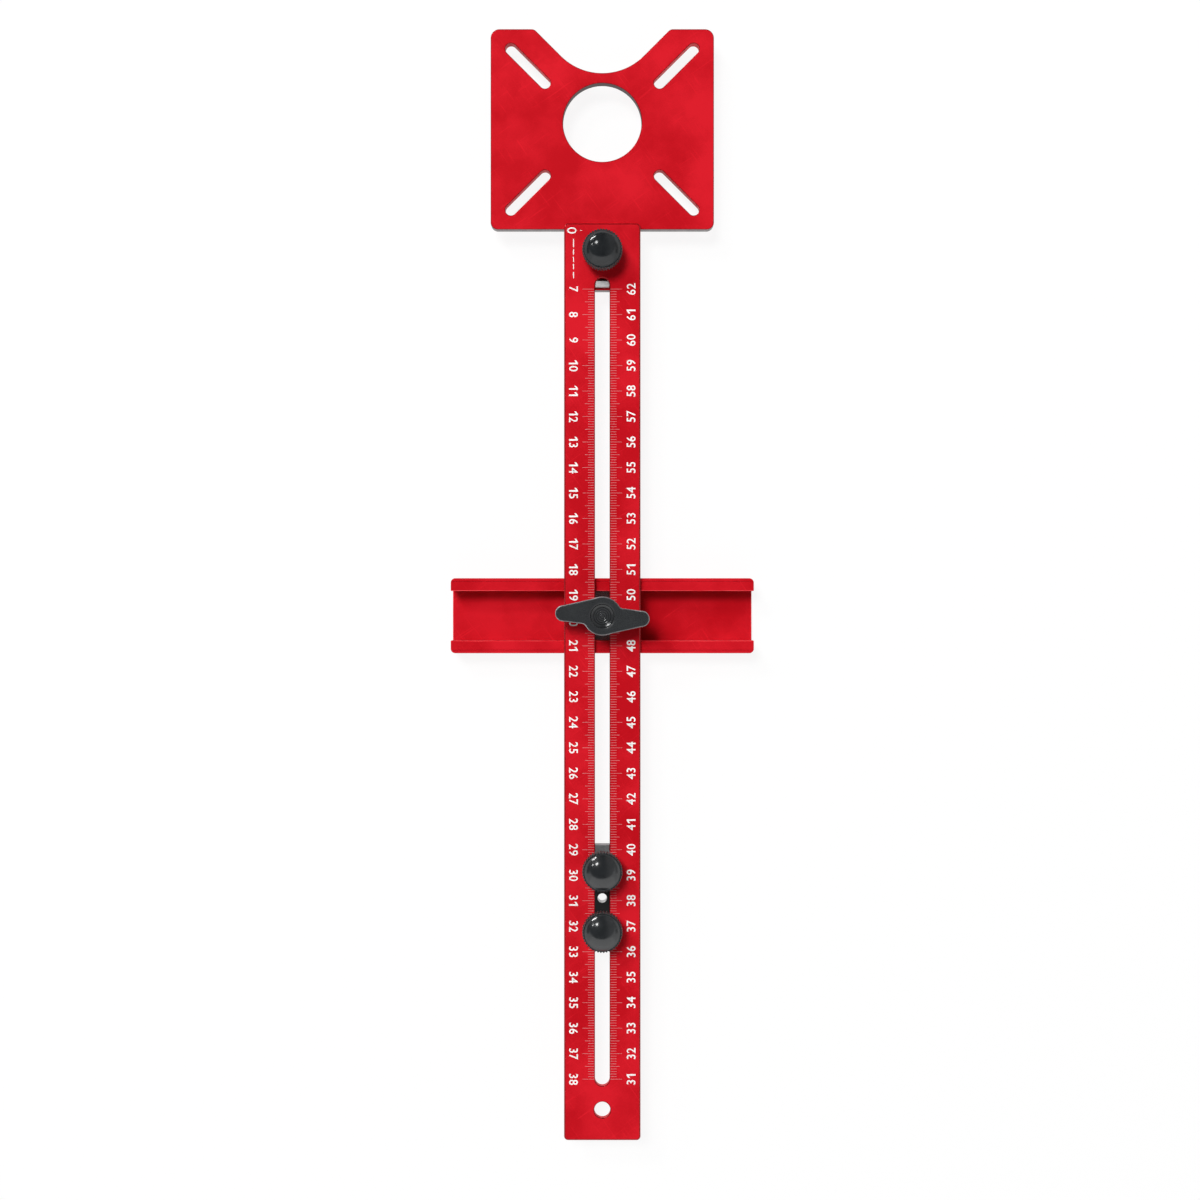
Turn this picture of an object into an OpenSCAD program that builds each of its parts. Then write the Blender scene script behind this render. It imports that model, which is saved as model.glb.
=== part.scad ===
// Router circle cutting jig: a base plate for a small router, a slotted ruler,
// a pivot block that slides along the ruler and an edge fence below it.
// Sizes are in millimetres. The origin is the centre of the bit opening, on the
// underside of the base plate. +X runs across the ruler, +Y away from it, +Z up.

/* [Base plate] */
// Width of the plate, across the ruler
plate_w = 88; // [84:0.5:120]
// From the bit's centre to the notched edge
plate_far = 36.8; // [35:0.1:50]
// From the bit's centre to the edge that the ruler laps
plate_near = 42.2; // [40:0.1:60]
// Thickness of the plate and its tongue
plate_t = 4.5; // [4:0.1:8]
// Radius of the corners beside the notch
far_corner_r = 3.5; // [1:0.1:6]
// Radius of the corners beside the ruler
near_corner_r = 2.8; // [1:0.1:6]
// Diameter of the opening for the bit
bit_d = 31; // [24:0.5:33]
// Radius of the notch in the far edge
notch_r = 23; // [20:0.5:26]
// Wall left between the notch and the bit opening
notch_wall = 4; // [3:0.1:6]
// Radius where the notch runs out into the far edge
notch_lip_r = 2.5; // [1:0.1:4]

/* [Router screw slots] */
// Width of a slot
screw_slot_w = 4.4; // [3.2:0.1:5.5]
// Distance between the centres of a slot's round ends
screw_slot_run = 19; // [12:0.5:21]
// From the plate's middle line to a slot's middle, across the ruler
screw_slot_x = 29.3; // [28:0.1:32]
// From the plate's middle line to a slot's middle, along the ruler
screw_slot_y = 25; // [23:0.1:27]

/* [Tongue and key] */
// Width of the tongue under the ruler
tongue_w = 26; // [18:0.5:29]
// Radius of the tongue's corners
tongue_corner_r = 2; // [0.5:0.1:4]
// Tongue left past the end of the key
tongue_past_key = 1; // [0.8:0.1:6]
// Length of the locating key in the ruler's slot
key_l = 3.4; // [3:0.1:8]
// Depth of the key's pocket in the tongue
key_sunk = 2.5; // [1.5:0.1:3]
// How far the key stays below the ruler's top face
key_below = 0.6; // [0.2:0.1:1.5]

/* [Ruler] */
// Width of the ruler
ruler_w = 30; // [28:0.5:40]
// Length of the ruler
ruler_l = 360; // [330:1:600]
// Thickness of the ruler
ruler_t = 3; // [2.5:0.1:5]
// How far the ruler laps the edge of the plate
ruler_lap = 1.9; // [1:0.1:4]
// Radius of the ruler's corners
ruler_corner_r = 1.6; // [1:0.1:4]
// Chamfer round the ruler's outside
ruler_chamfer = 0.5; // [0.2:0.05:0.9]
// Width of the ruler's slot
slot_w = 5.75; // [5.5:0.05:8]
// From each end of the ruler to the end of the slot
slot_inset = 21.4; // [20:0.1:30]
// Diameter of the hole near each end
end_hole_d = 6.3; // [5.6:0.1:8]
// From each end of the ruler to the centre of its hole
end_hole_inset = 12; // [10:0.1:14]
// Chamfer along the slot and the holes
hole_chamfer = 0.25; // [0.1:0.05:0.5]

/* [Pivot block] */
// From the free end of the slot to the pivot hole, as set
pivot_from_slot_end = 73.7; // [30:0.1:100]
// Length of the pivot block
block_l = 41.5; // [40:0.5:60]
// Width of its flange below the ruler
flange_w = 16; // [12:0.5:24]
// Thickness of its flange
flange_t = 3.2; // [2.4:0.1:4]
// Radius of the flange's corners
flange_corner_r = 2; // [0.5:0.1:4]
// How far the rib in the slot stays below the ruler's top face
rib_below = 0.4; // [0.2:0.1:1.5]
// Room round each clamp bolt where the rib is cut away
rib_relief = 0.7; // [0.5:0.1:1.5]
// Diameter of the hole for the pivot pin
pin_d = 3.6; // [2:0.1:6]
// Distance between the two clamp knobs
knob_pitch = 23.4; // [20:0.1:28]

/* [Round clamp knobs] */
// Diameter of the knurled rim
rim_d = 15.7; // [14.5:0.1:18]
// Height of the knurled rim
rim_h = 5.2; // [4.5:0.1:8]
// Number of ridges round the rim
rim_ridges = 42; // [24:1:60]
// Depth of the grooves between the ridges
ridge_depth = 0.45; // [0.2:0.05:0.7]
// Diameter of the collar under the rim
collar_d = 10; // [9:0.1:12]
// Height of the collar
collar_h = 3.5; // [2:0.1:6]
// Height of the cone between the collar and the rim
flare_h = 0.6; // [0.3:0.1:2]
// Height of the smooth shoulder above the rim
shoulder_h = 0.6; // [0.3:0.1:1.5]
// Step from the grooves in to the shoulder and the cone
shoulder_step = 0.15; // [0.1:0.05:0.5]
// Height of the domed cap
dome_h = 3; // [1.5:0.1:5]
// Step from the shoulder in to the cap
cap_step = 0.2; // [0.1:0.05:0.5]
// Diameter of the cap's spigot
spigot_d = 11; // [10:0.1:12]

/* [Bolts and washers] */
// Diameter of the clamp bolts
bolt_d = 5; // [4:0.1:5.2]
// Width across the flats of a bolt's head
bolt_head_af = 8; // [7:0.1:8.4]
// Height of a bolt's head
bolt_head_h = 3.5; // [3:0.1:4]
// How far a bolt's end stays inside its threaded hole
bolt_end_inset = 0.7; // [0.3:0.1:1.5]
// Diameter of a washer
washer_d = 10; // [9:0.1:14]
// Thickness of a washer
washer_t = 1; // [0.6:0.1:1.6]

/* [Fence] */
// From the base end of the slot to the fence's middle line, as set
fence_from_slot_start = 132.7; // [60:0.1:150]
// Length of the fence, across the ruler
fence_l = 119.5; // [80:0.5:240]
// Width of the fence
fence_w = 29.6; // [28:0.1:40]
// Height of the fence
fence_h = 12.8; // [11:0.1:18]
// Width of each rail
rail_w = 5.05; // [4:0.05:6]
// Thickness of the fence's floor
fence_floor = 2; // [1.5:0.1:3]
// How far the undercut goes into each rail
undercut = 1.75; // [1:0.05:2.5]
// Height of the undercut
undercut_h = 3.2; // [2.5:0.1:4]
// Radius of the fence's corners, seen from above
fence_corner_r = 1.8; // [0.5:0.1:3]
// Radius along the outer edges
fence_edge_r = 0.7; // [0.3:0.1:1.2]

/* [Fence bolt] */
// Length of the head along the fence
head_l = 14; // [10:0.5:20]
// Room for the head between the fence's floor and the undercut's top
head_slack = 0.6; // [0.3:0.1:1]
// Length of the flat-sided neck in the ruler's slot
neck_l = 8; // [6:0.5:12]
// Room above the bolt's end in the wing knob
bolt_end_room = 0.6; // [0.3:0.1:2]

/* [Wing knob] */
// Span from tip to tip
wing_span = 36.5; // [30:0.5:50]
// Radius of the hub
hub_r = 7.55; // [7:0.05:10]
// Height of the hub
hub_h = 13; // [12.5:0.5:20]
// Radius of a wing's tip
tip_r = 3.15; // [2.5:0.05:4]
// How far the tips lie off the hub's middle line
tip_rise = 1.05; // [0:0.05:2]
// Angle of a wing's hollow side to the hub's middle line
wing_slope = 8.3; // [4:0.1:12]
// Step from the hub and the tips in to the wings' sides
wing_step = 0.12; // [0.05:0.01:0.3]
// Radius between a wing's hollow side and the hub
wing_fillet_r = 3; // [1.5:0.1:5]
// Height of the wing's lower edge at the hub
wing_root_z = 4; // [2:0.1:6]
// Height of the wing's lower edge at the tip
wing_tip_z = 5.5; // [3:0.1:8]
// Diameter of the cap in the hub's top
wing_cap_d = 9.2; // [8:0.1:11]
// Thickness of that cap
wing_cap_t = 1.6; // [1.2:0.1:2.5]
// How far the cap lies below the hub's top
wing_cap_below = 0.3; // [0:0.1:0.8]
// Wall between that cap and the bolt's hole
wing_cap_seat = 1; // [0.6:0.1:1.5]
// Number of ring grooves in the cap
wing_cap_rings = 2; // [1:1:3]
// Diameter of the threaded insert in the hub
insert_d = 8; // [7:0.1:9]
// Room round the bolt above the insert
insert_relief = 0.8; // [0.4:0.1:1.2]
// Length of the insert
insert_l = 8; // [6:0.5:9]

/* [Fits] */
// Side clearance of what slides in a slot
slide_gap = 0.1; // [0.05:0.01:0.2]
// Gap under a washer, a knob or the ruler where it can move
seat_gap = 0.05; // [0.02:0.01:0.15]
// Radial clearance of a bolt in its thread or its washer
thread_gap = 0.05; // [0.02:0.01:0.1]
// Radial gap round a piece that is pressed or moulded in
press_gap = 0.02; // [0.01:0.01:0.05]

/* [Hidden] */
$fn = 96;
HEX = 6;
RIGHT_ANGLE = 90;
HALF_TURN = 180;
flank_angle = 45;
over = 1;
plate_mid_y = (plate_far - plate_near) / 2;
ruler_end_y = -(plate_near - ruler_lap);
slot_start_y = ruler_end_y - slot_inset;
slot_end_y = ruler_end_y - ruler_l + slot_inset;
base_knob_y = ruler_end_y - end_hole_inset;
free_hole_y = ruler_end_y - ruler_l + end_hole_inset;
pivot_y = slot_end_y + pivot_from_slot_end;
fence_y = slot_start_y - fence_from_slot_start;
ruler_top = plate_t + ruler_t;
fence_top = plate_t - seat_gap;
fence_bottom = fence_top - fence_h;
flange_bottom = plate_t - seat_gap - flange_t;
washer_z = ruler_top + seat_gap;
knob_z = washer_z + washer_t + seat_gap;
rim_z = collar_h + flare_h;
cap_z = rim_z + rim_h + shoulder_h;
groove_r = rim_d / 2 - ridge_depth;
shoulder_r = groove_r - shoulder_step;
cap_r = shoulder_r - cap_step;
spigot_h = rim_h + shoulder_h - bolt_head_h - seat_gap;
thread_d = bolt_d + 2 * thread_gap;
rib_w = slot_w - 2 * slide_gap;
key_y = slot_start_y - slide_gap;
tongue_end_y = key_y - key_l - tongue_past_key;
channel_w = fence_w - 2 * rail_w;
undercut_w = channel_w + 2 * undercut;
undercut_top = fence_bottom + fence_floor + undercut_h;
head_top = undercut_top - slide_gap;
head_t = undercut_h - head_slack;
wing_cap_floor = hub_h - wing_cap_below - wing_cap_t;
hub_bore_top = wing_cap_floor - wing_cap_seat;
wing_bolt_top = knob_z + hub_bore_top - bolt_end_room;

// Finishes
module red_anodised() { color([0.80, 0.06, 0.10]) children(); }
module bare_metal() { color([0.72, 0.73, 0.74]) children(); }
module grey_steel() { color([0.45, 0.46, 0.47]) children(); }
module matt_plastic() { color([0.23, 0.25, 0.26]) children(); }
module gloss_plastic() { color([0.06, 0.07, 0.08]) children(); }
module brass() { color([0.78, 0.62, 0.30]) children(); }

// What is cut away to round a square corner at the origin that points to +X +Y
module corner_waste(r) {
    difference() {
        translate([-r, -r]) square(r + over);
        translate([-r, -r]) circle(r);
    }
}

// The corner of a shape at [x, y], rounded off: side_x and side_y say which way it points
module round_off(x, y, side_x, side_y, r) {
    translate([x, y]) in_quadrant(side_x, side_y) corner_waste(r);
}

// Mirrors a shape into the quadrant that the two signs name
module in_quadrant(side_x, side_y) {
    mirror([side_x < 0 ? 1 : 0, 0]) mirror([0, side_y < 0 ? 1 : 0]) children();
}

// A round-ended slot along X, with run between the centres of its ends
module slot_outline(width, run) {
    square([run, width], center = true);
    for (side = [-1, 1]) translate([side * run / 2, 0]) circle(d = width);
}

// Base plate
module notch_outline() {
    centre_y = bit_d / 2 + notch_wall + notch_r;
    flank_x = notch_r * sin(flank_angle);
    flank_y = centre_y - notch_r * cos(flank_angle);
    rise = plate_far + over - flank_y;
    intersection() {
        translate([0, centre_y]) circle(notch_r);
        translate([-notch_r, 0]) square([2 * notch_r, plate_far + over]);
    }
    polygon([
        [-flank_x, flank_y], [flank_x, flank_y],
        [flank_x + rise * tan(flank_angle), plate_far + over],
        [-flank_x - rise * tan(flank_angle), plate_far + over]
    ]);
}

// What is cut away to round the right-hand lip of the notch
module notch_lip_waste() {
    centre_y = bit_d / 2 + notch_wall + notch_r;
    flank_y = centre_y - notch_r * cos(flank_angle);
    corner = [notch_r * sin(flank_angle) + (plate_far - flank_y) * tan(flank_angle), plate_far];
    reach = notch_lip_r * tan(flank_angle / 2);
    on_edge = corner + [reach, 0];
    on_flank = corner - reach * [sin(flank_angle), cos(flank_angle)];
    difference() {
        polygon([
            on_edge, on_edge + [0, over],
            on_flank + over * [-cos(flank_angle), sin(flank_angle)], on_flank
        ]);
        translate(on_edge - [0, notch_lip_r]) circle(notch_lip_r);
    }
}

module plate_outline() {
    difference() {
        union() {
            translate([-plate_w / 2, -plate_near]) square([plate_w, plate_near + plate_far]);
            translate([-tongue_w / 2, tongue_end_y]) square([tongue_w, -plate_near - tongue_end_y + over]);
        }
        notch_outline();
        for (side = [-1, 1]) {
            in_quadrant(side, 1) notch_lip_waste();
            round_off(side * plate_w / 2, plate_far, side, 1, far_corner_r);
            round_off(side * plate_w / 2, -plate_near, side, -1, near_corner_r);
            round_off(side * tongue_w / 2, tongue_end_y, side, -1, tongue_corner_r);
        }
        for (side_x = [-1, 1], side_y = [-1, 1])
            translate([side_x * screw_slot_x, plate_mid_y + side_y * screw_slot_y])
                rotate(side_x * side_y * flank_angle)
                    slot_outline(screw_slot_w, screw_slot_run);
    }
}

// The key's outline: round where it meets the end of the ruler's slot, square at the other end
module key_outline(grow = 0) {
    r = rib_w / 2;
    difference() {
        union() {
            translate([0, key_y - r]) circle(r + grow);
            translate([-r - grow, key_y - r - key_l]) square([rib_w + 2 * grow, key_l]);
        }
        translate([-rib_w, key_y - key_l - grow - 2 * rib_w]) square(2 * rib_w);
    }
}

module base_plate() {
    red_anodised() difference() {
        linear_extrude(plate_t) plate_outline();
        translate([0, 0, -over]) cylinder(d = bit_d, h = plate_t + 2 * over);
        translate([0, base_knob_y, -over]) cylinder(d = thread_d, h = plate_t + 2 * over);
        translate([0, 0, plate_t - key_sunk]) linear_extrude(key_sunk + over) key_outline(press_gap);
    }
}

module locating_key() {
    bare_metal() translate([0, 0, plate_t - key_sunk])
        linear_extrude(key_sunk + ruler_t - key_below) key_outline();
}

// Ruler
// The section of a slab with chamfered edges, standing on the X axis
module chamfered_section(w, t, c) {
    polygon([
        [-w / 2 + c, 0], [w / 2 - c, 0], [w / 2, c], [w / 2, t - c],
        [w / 2 - c, t], [-w / 2 + c, t], [-w / 2, t - c], [-w / 2, c]
    ]);
}

// A round corner post with the same chamfers
module chamfered_post(r, t, c) {
    cylinder(r1 = r - c, r2 = r, h = c);
    translate([0, 0, c]) cylinder(r = r, h = t - 2 * c);
    translate([0, 0, t - c]) cylinder(r1 = r, r2 = r - c, h = c);
}

// A slab centred on the Z axis, with round corners and chamfered edges
module chamfered_slab(w, l, t, r, c) {
    rotate([RIGHT_ANGLE, 0, 0]) translate([0, 0, -l / 2 + r])
        linear_extrude(l - 2 * r) chamfered_section(w, t, c);
    rotate([RIGHT_ANGLE, 0, RIGHT_ANGLE]) translate([0, 0, -w / 2 + r])
        linear_extrude(w - 2 * r) chamfered_section(l, t, c);
    for (side_x = [-1, 1], side_y = [-1, 1])
        translate([side_x * (w / 2 - r), side_y * (l / 2 - r), 0]) chamfered_post(r, t, c);
}

// A through hole in the ruler, chamfered at both faces
module ruler_hole(y, d) {
    translate([0, y, -over]) cylinder(d = d, h = ruler_t + 2 * over);
    translate([0, y, -over])
        cylinder(d1 = d + 2 * hole_chamfer + 2 * over, d2 = d, h = hole_chamfer + over);
    translate([0, y, ruler_t - hole_chamfer])
        cylinder(d1 = d, d2 = d + 2 * hole_chamfer + 2 * over, h = hole_chamfer + over);
}

// The straight part of the ruler's slot, with the same chamfers
module slot_section() {
    wide = slot_w / 2 + hole_chamfer + over;
    narrow = slot_w / 2;
    polygon([
        [-wide, -over], [wide, -over], [narrow, hole_chamfer], [narrow, ruler_t - hole_chamfer],
        [wide, ruler_t + over], [-wide, ruler_t + over],
        [-narrow, ruler_t - hole_chamfer], [-narrow, hole_chamfer]
    ]);
}

module ruler_bar() {
    first = slot_start_y - slot_w / 2;
    last = slot_end_y + slot_w / 2;
    red_anodised() translate([0, 0, plate_t]) difference() {
        translate([0, ruler_end_y - ruler_l / 2, 0])
            chamfered_slab(ruler_w, ruler_l, ruler_t, ruler_corner_r, ruler_chamfer);
        translate([0, first, 0]) rotate([RIGHT_ANGLE, 0, 0]) linear_extrude(first - last) slot_section();
        ruler_hole(first, slot_w);
        ruler_hole(last, slot_w);
        ruler_hole(base_knob_y, end_hole_d);
        ruler_hole(free_hole_y, end_hole_d);
    }
}

// Pivot block
module pivot_block() {
    grey_steel() translate([0, pivot_y, 0]) difference() {
        union() {
            translate([0, 0, flange_bottom]) linear_extrude(flange_t) difference() {
                square([flange_w, block_l], center = true);
                for (side_x = [-1, 1], side_y = [-1, 1])
                    round_off(side_x * flange_w / 2, side_y * block_l / 2, side_x, side_y, flange_corner_r);
            }
            translate([-rib_w / 2, -block_l / 2, flange_bottom])
                cube([rib_w, block_l, ruler_top - rib_below - flange_bottom]);
        }
        translate([0, 0, flange_bottom - over]) cylinder(d = pin_d, h = ruler_top + over);
        for (side = [-1, 1]) translate([0, side * knob_pitch / 2, 0]) {
            translate([0, 0, flange_bottom - over]) cylinder(d = thread_d, h = flange_t + 2 * over);
            translate([0, 0, flange_bottom + flange_t]) cylinder(d = bolt_d + 2 * rib_relief, h = ruler_top);
        }
    }
}

// Round clamp knobs
// The rim's outline: ridges with sharp grooves between them
module rim_outline() {
    polygon([
        for (i = [0 : 2 * rim_ridges - 1])
            let (r = i % 2 == 0 ? rim_d / 2 : groove_r, a = i * HALF_TURN / rim_ridges)
            [r * cos(a), r * sin(a)]
    ]);
}

module knob_body(y) {
    matt_plastic() translate([0, y, knob_z]) difference() {
        union() {
            cylinder(d = collar_d, h = collar_h);
            translate([0, 0, collar_h]) cylinder(r1 = collar_d / 2, r2 = shoulder_r, h = flare_h);
            translate([0, 0, rim_z]) linear_extrude(rim_h) rim_outline();
            translate([0, 0, rim_z + rim_h]) cylinder(r = shoulder_r, h = shoulder_h);
        }
        translate([0, 0, -over]) cylinder(d = bolt_d + 2 * press_gap, h = rim_z + 2 * over);
        translate([0, 0, rim_z])
            cylinder(d = (bolt_head_af + 2 * press_gap) / cos(HALF_TURN / HEX), h = rim_h + over, $fn = HEX);
        translate([0, 0, cap_z - spigot_h]) cylinder(d = spigot_d + 2 * press_gap, h = spigot_h + over);
    }
}

module knob_cap(y) {
    dome_r = (cap_r * cap_r + dome_h * dome_h) / (2 * dome_h);
    gloss_plastic() translate([0, y, knob_z + cap_z]) {
        rotate_extrude() intersection() {
            translate([0, dome_h - dome_r]) circle(dome_r);
            square([cap_r, dome_h]);
        }
        translate([0, 0, -spigot_h]) cylinder(d = spigot_d, h = spigot_h);
    }
}

// The bolt of a round knob: its end stays inside the thread, which ends at thread_bottom
module knob_bolt(y, thread_bottom) {
    head_z = knob_z + rim_z;
    end_z = thread_bottom + bolt_end_inset;
    bare_metal() translate([0, y, 0]) {
        translate([0, 0, end_z]) cylinder(d = bolt_d, h = head_z - end_z);
        translate([0, 0, head_z])
            cylinder(d = bolt_head_af / cos(HALF_TURN / HEX), h = bolt_head_h, $fn = HEX);
    }
}

module washer(y) {
    bare_metal() translate([0, y, washer_z]) difference() {
        cylinder(d = washer_d, h = washer_t);
        translate([0, 0, -over]) cylinder(d = thread_d, h = washer_t + 2 * over);
    }
}

module base_knob_body() { knob_body(base_knob_y); }
module base_knob_cap() { knob_cap(base_knob_y); }
module base_knob_bolt() { knob_bolt(base_knob_y, 0); }
module base_knob_washer() { washer(base_knob_y); }
module upper_knob_body() { knob_body(pivot_y + knob_pitch / 2); }
module upper_knob_cap() { knob_cap(pivot_y + knob_pitch / 2); }
module upper_knob_bolt() { knob_bolt(pivot_y + knob_pitch / 2, flange_bottom); }
module upper_knob_washer() { washer(pivot_y + knob_pitch / 2); }
module lower_knob_body() { knob_body(pivot_y - knob_pitch / 2); }
module lower_knob_cap() { knob_cap(pivot_y - knob_pitch / 2); }
module lower_knob_bolt() { knob_bolt(pivot_y - knob_pitch / 2, flange_bottom); }
module lower_knob_washer() { washer(pivot_y - knob_pitch / 2); }

// Fence
// The channel's section: open at the top, with an undercut above its floor for the bolt's head
module fence_section() {
    difference() {
        translate([-fence_w / 2, 0]) square([fence_w, fence_h]);
        translate([-channel_w / 2, fence_floor]) square([channel_w, fence_h]);
        translate([-undercut_w / 2, fence_floor]) square([undercut_w, undercut_h]);
        for (side = [-1, 1]) {
            round_off(side * fence_w / 2, fence_h, side, 1, fence_edge_r);
            round_off(side * fence_w / 2, 0, side, -1, fence_edge_r);
        }
    }
}

module fence_channel() {
    red_anodised() translate([0, fence_y, fence_bottom]) difference() {
        translate([-fence_l / 2, 0, 0]) rotate([RIGHT_ANGLE, 0, RIGHT_ANGLE])
            linear_extrude(fence_l) fence_section();
        for (side_x = [-1, 1], side_y = [-1, 1])
            translate([0, 0, -over]) linear_extrude(fence_h + 2 * over)
                round_off(side_x * fence_l / 2, side_y * fence_w / 2, side_x, side_y, fence_corner_r);
    }
}

// The bolt: a flat head in the undercut, a neck in the ruler's slot and a round thread
module fence_t_bolt() {
    head_w = undercut_w - 2 * slide_gap;
    bare_metal() translate([0, fence_y, 0]) {
        translate([-head_l / 2, -head_w / 2, head_top - head_t]) cube([head_l, head_w, head_t]);
        translate([0, 0, head_top - head_t]) cylinder(d = bolt_d, h = wing_bolt_top - head_top + head_t);
        translate([-rib_w / 2, -neck_l / 2, plate_t]) cube([rib_w, neck_l, ruler_t - rib_below]);
    }
}

// Wing knob
// Half of the wings' outline: a straight side that leaves the hub on a tangent, a round tip,
// and a hollow side that meets the hub in a fillet
module wing_outline() {
    tip = [-wing_span / 2 + tip_r, tip_rise];
    along = tip / norm(tip);
    across = [along[1], -along[0]];
    root_r = hub_r - wing_step;
    end_r = tip_r - wing_step;
    lean = (root_r - end_r) / norm(tip);
    full_side = lean * along + sqrt(1 - lean * lean) * across;
    to_hub = [cos(wing_slope), -sin(wing_slope)];
    hollow_side = [-sin(wing_slope), -cos(wing_slope)];
    start = tip + (end_r + wing_fillet_r) * hollow_side;
    hub_gap = root_r + wing_fillet_r;
    step = -(start * to_hub) - sqrt(pow(start * to_hub, 2) - start * start + hub_gap * hub_gap);
    centre = start + step * to_hub;
    difference() {
        polygon([
            [0, 0], root_r * full_side, tip + end_r * full_side, tip, tip + end_r * hollow_side,
            centre - wing_fillet_r * hollow_side, centre, centre * root_r / hub_gap
        ]);
        translate(centre) circle(wing_fillet_r + wing_step);
    }
    translate(tip) circle(tip_r);
}

// The wings seen from the side: their lower edges rise towards the tips
module wing_side() {
    reach = wing_span / 2 + over;
    polygon([
        [-reach, wing_tip_z], [-hub_r, wing_root_z], [hub_r, wing_root_z],
        [reach, wing_tip_z], [reach, hub_h], [-reach, hub_h]
    ]);
}

module wing_knob_body() {
    matt_plastic() translate([0, fence_y, knob_z]) difference() {
        union() {
            cylinder(r = hub_r, h = hub_h);
            intersection() {
                linear_extrude(hub_h) for (turn = [0, HALF_TURN]) rotate(turn) wing_outline();
                rotate([RIGHT_ANGLE, 0, 0]) translate([0, 0, -wing_span / 2])
                    linear_extrude(wing_span) wing_side();
            }
        }
        translate([0, 0, -over]) cylinder(d = insert_d + 2 * press_gap, h = insert_l + over);
        cylinder(d = bolt_d + 2 * insert_relief, h = hub_bore_top);
        translate([0, 0, wing_cap_floor]) cylinder(d = wing_cap_d + 2 * press_gap, h = hub_h);
    }
}

module wing_knob_insert() {
    brass() translate([0, fence_y, knob_z]) difference() {
        cylinder(d = insert_d, h = insert_l);
        translate([0, 0, -over]) cylinder(d = thread_d, h = insert_l + 2 * over);
    }
}

// The cap: a disc with ring grooves of equal width round its middle
module wing_knob_cap() {
    ring = wing_cap_d / 2 / (2 * wing_cap_rings + 2);
    matt_plastic() translate([0, fence_y, knob_z + wing_cap_floor]) difference() {
        cylinder(d = wing_cap_d, h = wing_cap_t);
        for (i = [1 : wing_cap_rings]) translate([0, 0, wing_cap_t - ring / 2]) difference() {
            cylinder(r = (2 * i + 1) * ring, h = ring);
            translate([0, 0, -over]) cylinder(r = 2 * i * ring, h = ring + 2 * over);
        }
    }
}

module wing_knob_washer() { washer(fence_y); }

base_plate();
locating_key();
ruler_bar();
base_knob_body();
base_knob_cap();
base_knob_bolt();
base_knob_washer();
pivot_block();
upper_knob_body();
upper_knob_cap();
upper_knob_bolt();
upper_knob_washer();
lower_knob_body();
lower_knob_cap();
lower_knob_bolt();
lower_knob_washer();
fence_channel();
fence_t_bolt();
wing_knob_body();
wing_knob_insert();
wing_knob_cap();
wing_knob_washer();
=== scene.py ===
"""Looks of a router circle cutting jig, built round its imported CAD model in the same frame.

The file is laid out as an add-on and run as a script. Sizes are in metres.
"""

import math

import bmesh
import bpy
from bpy.props import FloatProperty, FloatVectorProperty, IntProperty, PointerProperty
from mathutils import Matrix, Vector


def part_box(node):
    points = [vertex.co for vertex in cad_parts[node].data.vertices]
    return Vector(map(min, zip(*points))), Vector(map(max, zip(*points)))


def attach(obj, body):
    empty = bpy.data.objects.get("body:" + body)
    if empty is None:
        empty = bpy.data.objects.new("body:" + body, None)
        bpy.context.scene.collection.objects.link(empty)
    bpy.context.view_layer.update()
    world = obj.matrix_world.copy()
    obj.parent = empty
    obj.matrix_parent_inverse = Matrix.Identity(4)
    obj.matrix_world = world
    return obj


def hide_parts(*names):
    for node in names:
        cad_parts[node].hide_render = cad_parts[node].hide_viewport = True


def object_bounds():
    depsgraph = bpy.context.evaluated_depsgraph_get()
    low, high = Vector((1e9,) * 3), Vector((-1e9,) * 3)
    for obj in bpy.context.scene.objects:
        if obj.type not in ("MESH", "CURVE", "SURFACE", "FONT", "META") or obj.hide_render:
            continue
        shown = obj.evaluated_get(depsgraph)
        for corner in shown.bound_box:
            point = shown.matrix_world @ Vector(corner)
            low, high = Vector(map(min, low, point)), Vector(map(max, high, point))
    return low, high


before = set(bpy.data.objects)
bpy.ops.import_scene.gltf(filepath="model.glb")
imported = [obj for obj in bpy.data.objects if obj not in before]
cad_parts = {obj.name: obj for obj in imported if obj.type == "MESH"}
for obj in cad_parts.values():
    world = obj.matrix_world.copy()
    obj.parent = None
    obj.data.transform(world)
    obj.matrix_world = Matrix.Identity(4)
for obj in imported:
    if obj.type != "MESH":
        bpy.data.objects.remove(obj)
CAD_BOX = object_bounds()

bl_info = {
    "name": "Router circle jig",
    "version": (1, 0, 0),
    "blender": (4, 5, 0),
    "location": "View3D > Sidebar > Circle jig",
    "description": "Models the finish, scale marks, knobs and bolts of a router circle cutting jig",
    "category": "Object",
}

MM = 0.001
CENTIMETRE = 10 * MM
WELD = 0.001 * MM
NEAR = 0.01 * MM
FULL_TURN = 2 * math.pi
UP = Vector((0, 0, 1))
WHITE = (1, 1, 1, 1)
ROUND_KNOBS = ("base", "upper", "lower")

# Height of a face's normal: below WALL for a wall, above FLAT for an end, between two limits for an edge
WALL = 0.35
FLAT = 0.9
PLATE_EDGES = (WALL, 0.98)
RULER_EDGES = (0.15, 0.98)
FENCE_EDGES = (0.2, 0.98)
WING_EDGES = (0.05, 0.93)

# Millimetres from tick to tick in the rows of short, middle and long ticks
TICK_STEPS = (1, 5, 10)
# Start and length of each dash below the zero, from the ruler's end, in millimetres
ZERO_DASHES = ((6.2, 3.2), (10.3, 2.1), (13.2, 2.1), (16.0, 2.1), (19.2, 2.5))
# Outline of a flagged 1, in shares of a digit's width and height
ONE_OUTLINE = (
    (0.36, -0.5), (0.36, 0.5), (0.10, 0.5), (-0.38, 0.29), (-0.38, 0.09), (0.05, 0.27), (0.05, -0.5)
)

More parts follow.
